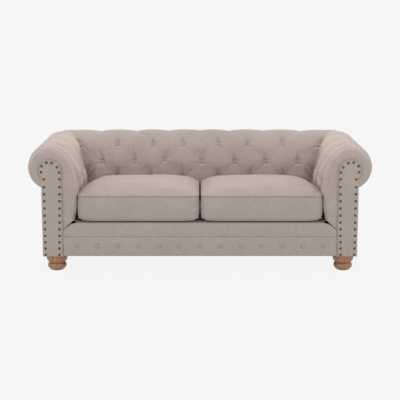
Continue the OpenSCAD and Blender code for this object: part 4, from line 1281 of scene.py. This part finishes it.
def cushion_patches(plan, half, side, count=(76, 66)):
    """A boxed cushion about its own middle: crowned top panel, boxing and flat bottom panel.

    The crown's height is a power of the product of 1 less a power of each coordinate, so that it rises
    steeply from the piping and is nearly flat in the middle. It is fullest beside the other cushion.
    """
    welt = plan.welt_radius
    seam, low_z = 1.6 * welt, LOW_WELT * welt
    a, b = np.meshgrid(*[np.linspace(-1, 1, steps + 1) for steps in count], indexing="ij")
    edge_a, edge_b = (np.append(edge, edge[0]) for edge in square_edge(*count))

    def ring(drawn, z):
        return stacked(*cushion_plan(plan, edge_a, edge_b, half, drawn), z)

    crown = ((1 - np.abs(a)**np.where(a * side > 0, 3, 4)) * (1 - np.abs(b)**3))**0.68
    top_z = plan.cushion_height + plan.cushion_crown * 0.90 * crown - corner_drop(a, b, side)
    top = stacked(*cushion_plan(plan, a, b, half, seam), top_z)
    bottom = stacked(*cushion_plan(plan, a, b, half, CUSHION_FOOT_INSET), 0.0)
    levels = np.linspace(low_z, plan.cushion_height, 17)
    swell = np.sin(math.pi * (levels - low_z) / (plan.cushion_height - low_z))
    rise = corner_lift(edge_a, edge_b)
    boxing = np.stack([ring(seam - 1.4 * welt * s**0.5, z) for s, z in zip(np.clip(swell, 0, 1), levels)])
    share = np.linspace(0, 1, len(levels))[:, None]
    boxing[..., 2] += rise * (1 - share) - corner_drop(edge_a, edge_b, side) * share
    under = np.stack([ring(CUSHION_FOOT_INSET, 0.0), ring(0.019, 0.7 * low_z), ring(seam, low_z)])
    under[..., 2] += rise * np.array([0, 0.9, 1])[:, None]
    uv_box = stacked(distance_along(boxing[0])[None], levels[:, None])
    return [(top, top[..., :2]), (boxing, uv_box), under, (bottom, bottom[..., :2])]


def at_seams(plan, points, half, side):
    """True for a cushion's points on its upper seam and at or below its lower one."""
    a, b = points[:, 0] / half[0], points[:, 1] / half[1]
    edge = np.maximum(np.maximum(np.abs(a), np.abs(b)), 1e-6)
    seam = plan.cushion_height - corner_drop(a / edge, b / edge, side)
    on_rim = (edge > 0.94) & (np.abs(points[:, 2] - seam) < 0.003)
    return on_rim | (points[:, 2] < LOW_WELT * plan.welt_radius + 0.0072)


def vertex_places(mesh):
    """Places of a mesh's vertices, one to a row."""
    places = np.zeros(len(mesh.vertices) * 3, dtype=np.float32)
    mesh.vertices.foreach_get("co", places)
    return places.reshape(-1, 3).astype(float)


def stuff(piece, pinned, pressure=4.0, slack=-0.012, frames=20):
    """Swell a cushion with Cloth under pressure, its seams held, and return the moved points."""
    group = piece.vertex_groups.new(name="seams")
    group.add([int(i) for i in np.flatnonzero(pinned)], 1.0, "REPLACE")
    cloth = piece.modifiers.new("Stuffing", "CLOTH")
    settings = cloth.settings
    settings.quality = 6
    settings.mass = 0.3
    settings.tension_stiffness = settings.compression_stiffness = 15
    settings.shear_stiffness = 8
    settings.bending_stiffness = 0.6
    settings.use_pressure = True
    settings.uniform_pressure_force = pressure
    settings.shrink_min = slack
    settings.vertex_group_mass = group.name
    settings.effector_weights.gravity = 0
    scene = bpy.context.scene
    scene.frame_start, scene.frame_end = 1, frames
    cloth.point_cache.frame_start, cloth.point_cache.frame_end = 1, frames
    for number in range(1, frames + 1):
        scene.frame_set(number)
    swollen = piece.evaluated_get(bpy.context.evaluated_depsgraph_get()).to_mesh()
    moved = vertex_places(swollen)
    piece.modifiers.remove(cloth)
    piece.vertex_groups.remove(group)
    scene.frame_set(1)
    return moved


def limited_move(start, moved, side_cap, front_cap, top_cap):
    """Keep a swollen cushion clear of its neighbours: cap its move to each side, forwards and upwards."""
    caps = np.array([(side_cap, front_cap, top_cap), (side_cap, side_cap, top_cap)])
    return start + np.clip(moved - start, -caps[0], caps[1])


def sat_in(plan, points, half, seed):
    """Soft hollows and slack waves of a seat that has been used, strongest in the middle of the crown."""
    a, b = np.clip(points[:, 0] / half[0], -1, 1), np.clip(points[:, 1] / half[1], -1, 1)
    up = np.clip((points[:, 2] - plan.cushion_height) / plan.cushion_crown, 0, 1)
    middle = (1 - a**2) * (1 - b**2)
    wave = ripple(points[:, 0], points[:, 1], 0.22, seed) * 0.0035 + ripple(
        points[:, 0] * 1.6, points[:, 1], 0.07, seed + 4) * 0.0012
    points[:, 2] += up * (wave - 0.002 * middle)
    side = (1 - up) * np.clip(points[:, 2] / plan.cushion_height, 0, 1)
    slack = ripple(points[:, 0] + points[:, 1], points[:, 2] * 1.4, 0.13, seed + 8) * 0.0016
    on_front = smooth((-b - 0.93) / 0.05)
    points[:, 1] += side * on_front * slack
    return points


class SOFA_OT_cushions(bpy.types.Operator):
    """Two loose boxed seat cushions with their piping"""

    bl_idname = "sofa.cushions"
    bl_label = "Seat cushions"

    def execute(self, context):
        plan, colours = user_choices(context)
        # The cushions' cloth is 1 % darker than the same cloth elsewhere: painted shade, to tone down their
        # brightly lit tops.
        cloth = woven_cloth("cushion_cloth_painted_shade", colours.cloth, 0.99, crumple=0.6)
        welt_cloth = woven_cloth("cushion_welt_cloth", colours.cloth, 0.97, crumple=0.1)
        foam = cell_foam("cushion_foam")
        for name, side in SIDES.items():
            low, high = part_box(f"cushion_welts_{name}")
            half = ((high[0] - low[0]) / 2 + 0.0010, (high[1] - low[1]) / 2 - 0.0005)
            centre = np.array([
                (low[0] + high[0]) / 2 + side * 0.0022, (low[1] + high[1]) / 2, plan.deck + GAP])
            body = f"cushion_{name}"
            piece = make_piece(f"{body}_cover", cushion_patches(plan, half, side), cloth)
            points = start = vertex_places(piece.data)
            held = at_seams(plan, start, half, side)
            points = limited_move(start, stuff(piece, held), 0.0024, 0.008, 0.004)
            points = sat_in(plan, points, half, 71.0 + side) + centre
            piece.data.vertices.foreach_set("co", points.astype(np.float32).ravel())
            piece.data.update()
            finer = piece.modifiers.new("Finer", "SUBSURF")
            finer.levels = finer.render_levels = 1
            place(piece, f"cushion_cover_{name}", body)

            inner = cushion_patches(plan, (half[0] - 0.012, half[1] - 0.012), side, (28, 24))
            inner = fitted(inner, (1, 1, 0.9), centre + (0, 0, 0.006))
            core = make_piece(f"{body}_core", inner, foam)
            place(core, f"cushion_core_{name}", body)

            edge_a, edge_b = square_edge(150, 130)
            welt = plan.welt_radius
            x, y = cushion_plan(plan, edge_a, edge_b, half, welt)
            uneven = 0.0008 * ripple(x, y, 0.25, 81.0 + side)
            levels = (LOW_WELT * welt + uneven + corner_lift(edge_a, edge_b),
                      plan.cushion_height + uneven - corner_drop(edge_a, edge_b, side))
            patches = [tube(stacked(x, y, z) + centre, welt, closed=True) for z in levels]
            piping = make_piece(f"{body}_piping", patches, welt_cloth)
            place(piping, f"cushion_welts_{name}", body)
        return {"FINISHED"}


# Outside, underside and feet


def taut(low, high, axis, side, swell, wavelength, seed):
    """Shape function of a panel that is stretched over the frame.

    Its outer face bows out by half a sine wave of its height, and ripples a little.
    """
    face = max(abs(low[axis]), abs(high[axis])) - 0.004

    def shape(grid):
        wave = swell * ripple(grid[..., 1 - axis], grid[..., 2], wavelength, seed)
        middle = np.sin(math.pi * np.clip((grid[..., 2] - low[2]) / (high[2] - low[2]), 0, 1))
        grid[..., axis] += side * (grid[..., axis] * side > face) * (0.0015 * middle + wave)
        return grid

    return shape


class SOFA_OT_outside(bpy.types.Operator):
    """Outside panels, seat platform and the cloth under the seat"""

    bl_idname = "sofa.outside"
    bl_label = "Outside and underside"

    def execute(self, context):
        colours = context.scene.sofa_colours
        cloth = woven_cloth("outside_cloth", colours.cloth)
        panels = [
            (f"outside_arm_{name}", f"outer_arm_panel_{name}", (0, side, 0.0012, 0.30, 91.0 + side))
            for name, side in SIDES.items()]
        panels.append(("outside_back", "outer_back_panel", (1, 1, 0.0014, 0.34, 97.0)))
        for name, node, tension in panels:
            low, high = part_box(node)
            patches = rounded_box(low, high, 0.0028, 0.02, taut(low, high, *tension))
            place(make_piece(name, patches, cloth), node)

        low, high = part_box("seat_platform")
        # Dark lining: a real plain cloth whose darkness is painted shade for the gaps round the cushions.
        lining = woven_cloth("platform_cloth", colours.lining, thread=0.001)
        tucked = Vector((0.015, 0.0, 0.0))  # how far the lining runs under the arms' upholstery
        deck = make_piece("seat_deck", rounded_box(low - tucked, high + tucked, 0.006, 0.03), lining)
        place(deck, "seat_platform")

        low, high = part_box("dust_cover")
        black = woven_cloth("dust_cloth", (0.014, 0.014, 0.016), thread=0.0012)

        def sag(grid):
            across, along = (
                np.sin(math.pi * np.clip((grid[..., k] - low[k]) / (high[k] - low[k]), 0, 1)) for k in (0, 1))
            grid[..., 2] -= 0.0015 * across * along
            return grid

        sheet = make_piece("under_cloth", rounded_box(low, high, 0.0007, 0.03, sag), black)
        place(sheet, "dust_cover")
        return {"FINISHED"}


def foot_profile(low, high, cup, waist=0.049, bun=0.0585, sole=0.044):
    """Radius and height of a turned foot: sole, round bun, waist and a cup that flares to its rim."""
    tall = high - low
    swing = np.linspace(-1.35, 1.25, 24)
    bun_r = bun + 0.0135 * (np.cos(swing) - 1)
    bun_h = tall * (0.27 + 0.185 * np.sin(swing))
    flare = np.linspace(0, 1, 14)
    cup_r = blend(waist, cup - 0.002, np.sin(flare * math.pi / 2)**1.1)
    cup_h = tall * blend(0.47, 0.69, flare)
    radius = np.concatenate([
        [0, sole - 0.001, sole], bun_r, [waist - 0.0015, waist - 0.0015], cup_r,
        [cup - 0.002, cup, cup, cup - 0.001, 0]])
    height = np.concatenate([
        [0, 0, 0.001], bun_h, tall * np.array([0.453, 0.465]), cup_h,
        tall * np.array([0.705, 0.72, 0.99, 1.0, 1.0])])
    return radius, height + low


class SOFA_OT_feet(bpy.types.Operator):
    """Four turned wooden feet"""

    bl_idname = "sofa.feet"
    bl_label = "Feet"

    def execute(self, context):
        oak = turned_oak("oak_foot", context.scene.sofa_colours.oak)
        for where in [f"{row}_{name}" for row in ("front", "rear") for name in SIDES]:
            low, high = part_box(f"foot_{where}")
            cup = (high[0] - low[0]) / 2 + 0.003
            centre = ((low[0] + high[0]) / 2, (low[1] + high[1]) / 2, 0.0)
            turned = lathe(*foot_profile(low[2], high[2], cup), centre)
            piece = make_piece(f"turned_foot_{where}", [turned], oak, sharp=60)
            place(piece, f"foot_{where}")
        return {"FINISHED"}


class SOFA_OT_frame_finish(bpy.types.Operator):
    """Finishes of the frame's own nodes, which stay as they are"""

    bl_idname = "sofa.frame_finish"
    bl_label = "Frame finishes"

    def execute(self, context):
        colours = context.scene.sofa_colours
        finishes = {
            "frame_wood": turned_oak("beech_frame", colours.beech, 12.0, 0.6),
            "frame_board": turned_oak("plywood_frame", shade(colours.beech, 0.92), 60.0, 0.65),
            "steel": drawn_steel("drawn_steel"),
            "webbing": woven_jute("jute_webbing"),
            "glide_felt": plain_felt("glide_felt"),
        }
        for part in frame["record"]["subparts"]:
            finish = finishes.get(part["material_slot"])
            node = frame["nodes"].get(part["node"])
            if finish is None or node is None:
                continue
            if not node.material_slots:
                node.data.materials.append(finish)
            for slot in node.material_slots:
                slot.material = finish
        return {"FINISHED"}


# Stage


def stage_floor(colour):
    """Pale floor that the camera sees mostly at its own colour, with a soft part of the object's shadow."""
    graph = Graph("stage_floor")
    path = graph.node("ShaderNodeLightPath", {}, {}, "Is Camera Ray")
    seen = (path + path.output("Is Glossy Ray") + path.output("Is Transmission Ray")).limited()
    lit = graph.node("ShaderNodeBsdfDiffuse", {}, {"Color": shade(colour, 0.9)})
    glow = graph.node("ShaderNodeEmission", {}, {"Color": (*colour, 1.0), "Strength": 1.0})
    shader = graph.node("ShaderNodeMixShader", {}, {0: seen * 0.97, 1: lit, 2: glow})
    graph.node("ShaderNodeOutputMaterial", {}, {"Surface": shader})
    return graph.block


def studio_world(colour):
    """World that lights the scene evenly and that the camera sees at the backdrop's colour."""
    graph = Graph("studio", "worlds")
    seen = graph.node("ShaderNodeBackground", {}, {"Color": (*colour, 1.0)})
    ambient = graph.node("ShaderNodeBackground", {}, {"Color": (1.0, 0.99, 0.98, 1.0), "Strength": 1.07})
    path = graph.node("ShaderNodeLightPath", {}, {}, "Is Camera Ray")
    mix = graph.node("ShaderNodeMixShader", {}, {0: path, 1: ambient, 2: seen})
    graph.node("ShaderNodeOutputWorld", {}, {"Surface": mix})
    return graph.block


# Lights of the right-hand side: name, place, target, size, power and the full angle of the beam in degrees.
LIGHTS = (
    ("top_light", (1.08, -0.10, 1.70), (1.00, -0.05, 0.60), 0.7, 2.2, 180.0),
    ("arm_light", (-1.65, -0.75, 1.15), (0.80, -0.05, 0.70), 0.4, 0.28, 22.0))


def area_light(name, location, target, size, power, spread):
    """A square soft light that faces its target."""
    data = bpy.data.lights.new(name, "AREA")
    data.shape, data.size, data.energy, data.spread = "SQUARE", size, power, math.radians(spread)
    light = bpy.data.objects.new(name, data)
    light.location = location
    light.rotation_euler = (target - location).to_track_quat("-Z", "Y").to_euler()
    bpy.context.scene.collection.objects.link(light)


class SOFA_OT_stage(bpy.types.Operator):
    """Floor, background, lights and camera"""

    bl_idname = "sofa.stage"
    bl_label = "Stage"

    def execute(self, context):
        scene = context.scene
        colour = tuple(scene.sofa_colours.backdrop)
        reach = 40.0
        mesh = bpy.data.meshes.new("floor")
        corners = [(-reach, -reach, 0), (reach, -reach, 0), (reach, reach, 0), (-reach, reach, 0)]
        mesh.from_pydata(corners, [], [(0, 1, 2, 3)])
        mesh.materials.append(stage_floor(colour))
        floor = bpy.data.objects.new("floor", mesh)
        scene.collection.objects.link(floor)
        scene.world = studio_world(colour)
        for name, side in SIDES.items():
            turned = Vector((side, 1.0, 1.0))
            for light, location, target, *beam in LIGHTS:
                area_light(f"{light}_{name}", Vector(location) * turned, Vector(target) * turned, *beam)

        distance, height, pitch, lens = 6.4, 1.64, 10.5, 95.75
        data = bpy.data.cameras.new("camera")
        data.sensor_width, data.lens = 36.0, lens
        camera = bpy.data.objects.new("camera", data)
        camera.location = (0.0, FACING_LOW[1] - distance, height)
        camera.rotation_euler = (math.radians(90 - pitch), 0, 0)
        scene.collection.objects.link(camera)
        scene.camera = camera
        scene.view_settings.view_transform = "Standard"
        return {"FINISHED"}


class SOFA_PT_panel(bpy.types.Panel):
    """Lists the sofa's operators and values"""

    bl_idname = "SOFA_PT_panel"
    bl_label = "Sofa"
    bl_space_type = "VIEW_3D"
    bl_region_type = "UI"
    bl_category = "Sofa"

    def draw(self, context):
        for group in (context.scene.sofa_sizes, context.scene.sofa_colours):
            for name in type(group).__annotations__:
                self.layout.prop(group, name)
        for operator in OPERATORS:
            self.layout.operator(operator.bl_idname)


OPERATORS = (
    SOFA_OT_stage, SOFA_OT_back, SOFA_OT_arms, SOFA_OT_buttons, SOFA_OT_arm_fronts, SOFA_OT_border,
    SOFA_OT_cushions, SOFA_OT_outside, SOFA_OT_feet, SOFA_OT_frame_finish)
CLASSES = (SofaSizes, SofaColours, *OPERATORS, SOFA_PT_panel)


def register():
    for item in CLASSES:
        bpy.utils.register_class(item)
    bpy.types.Scene.sofa_sizes = PointerProperty(type=SofaSizes)
    bpy.types.Scene.sofa_colours = PointerProperty(type=SofaColours)


def unregister():
    del bpy.types.Scene.sofa_colours
    del bpy.types.Scene.sofa_sizes
    for item in reversed(CLASSES):
        bpy.utils.unregister_class(item)


def main():
    register()
    for operator in OPERATORS:
        group, name = operator.bl_idname.split(".")
        getattr(getattr(bpy.ops, group), name)()


if __name__ == "__main__":
    main()
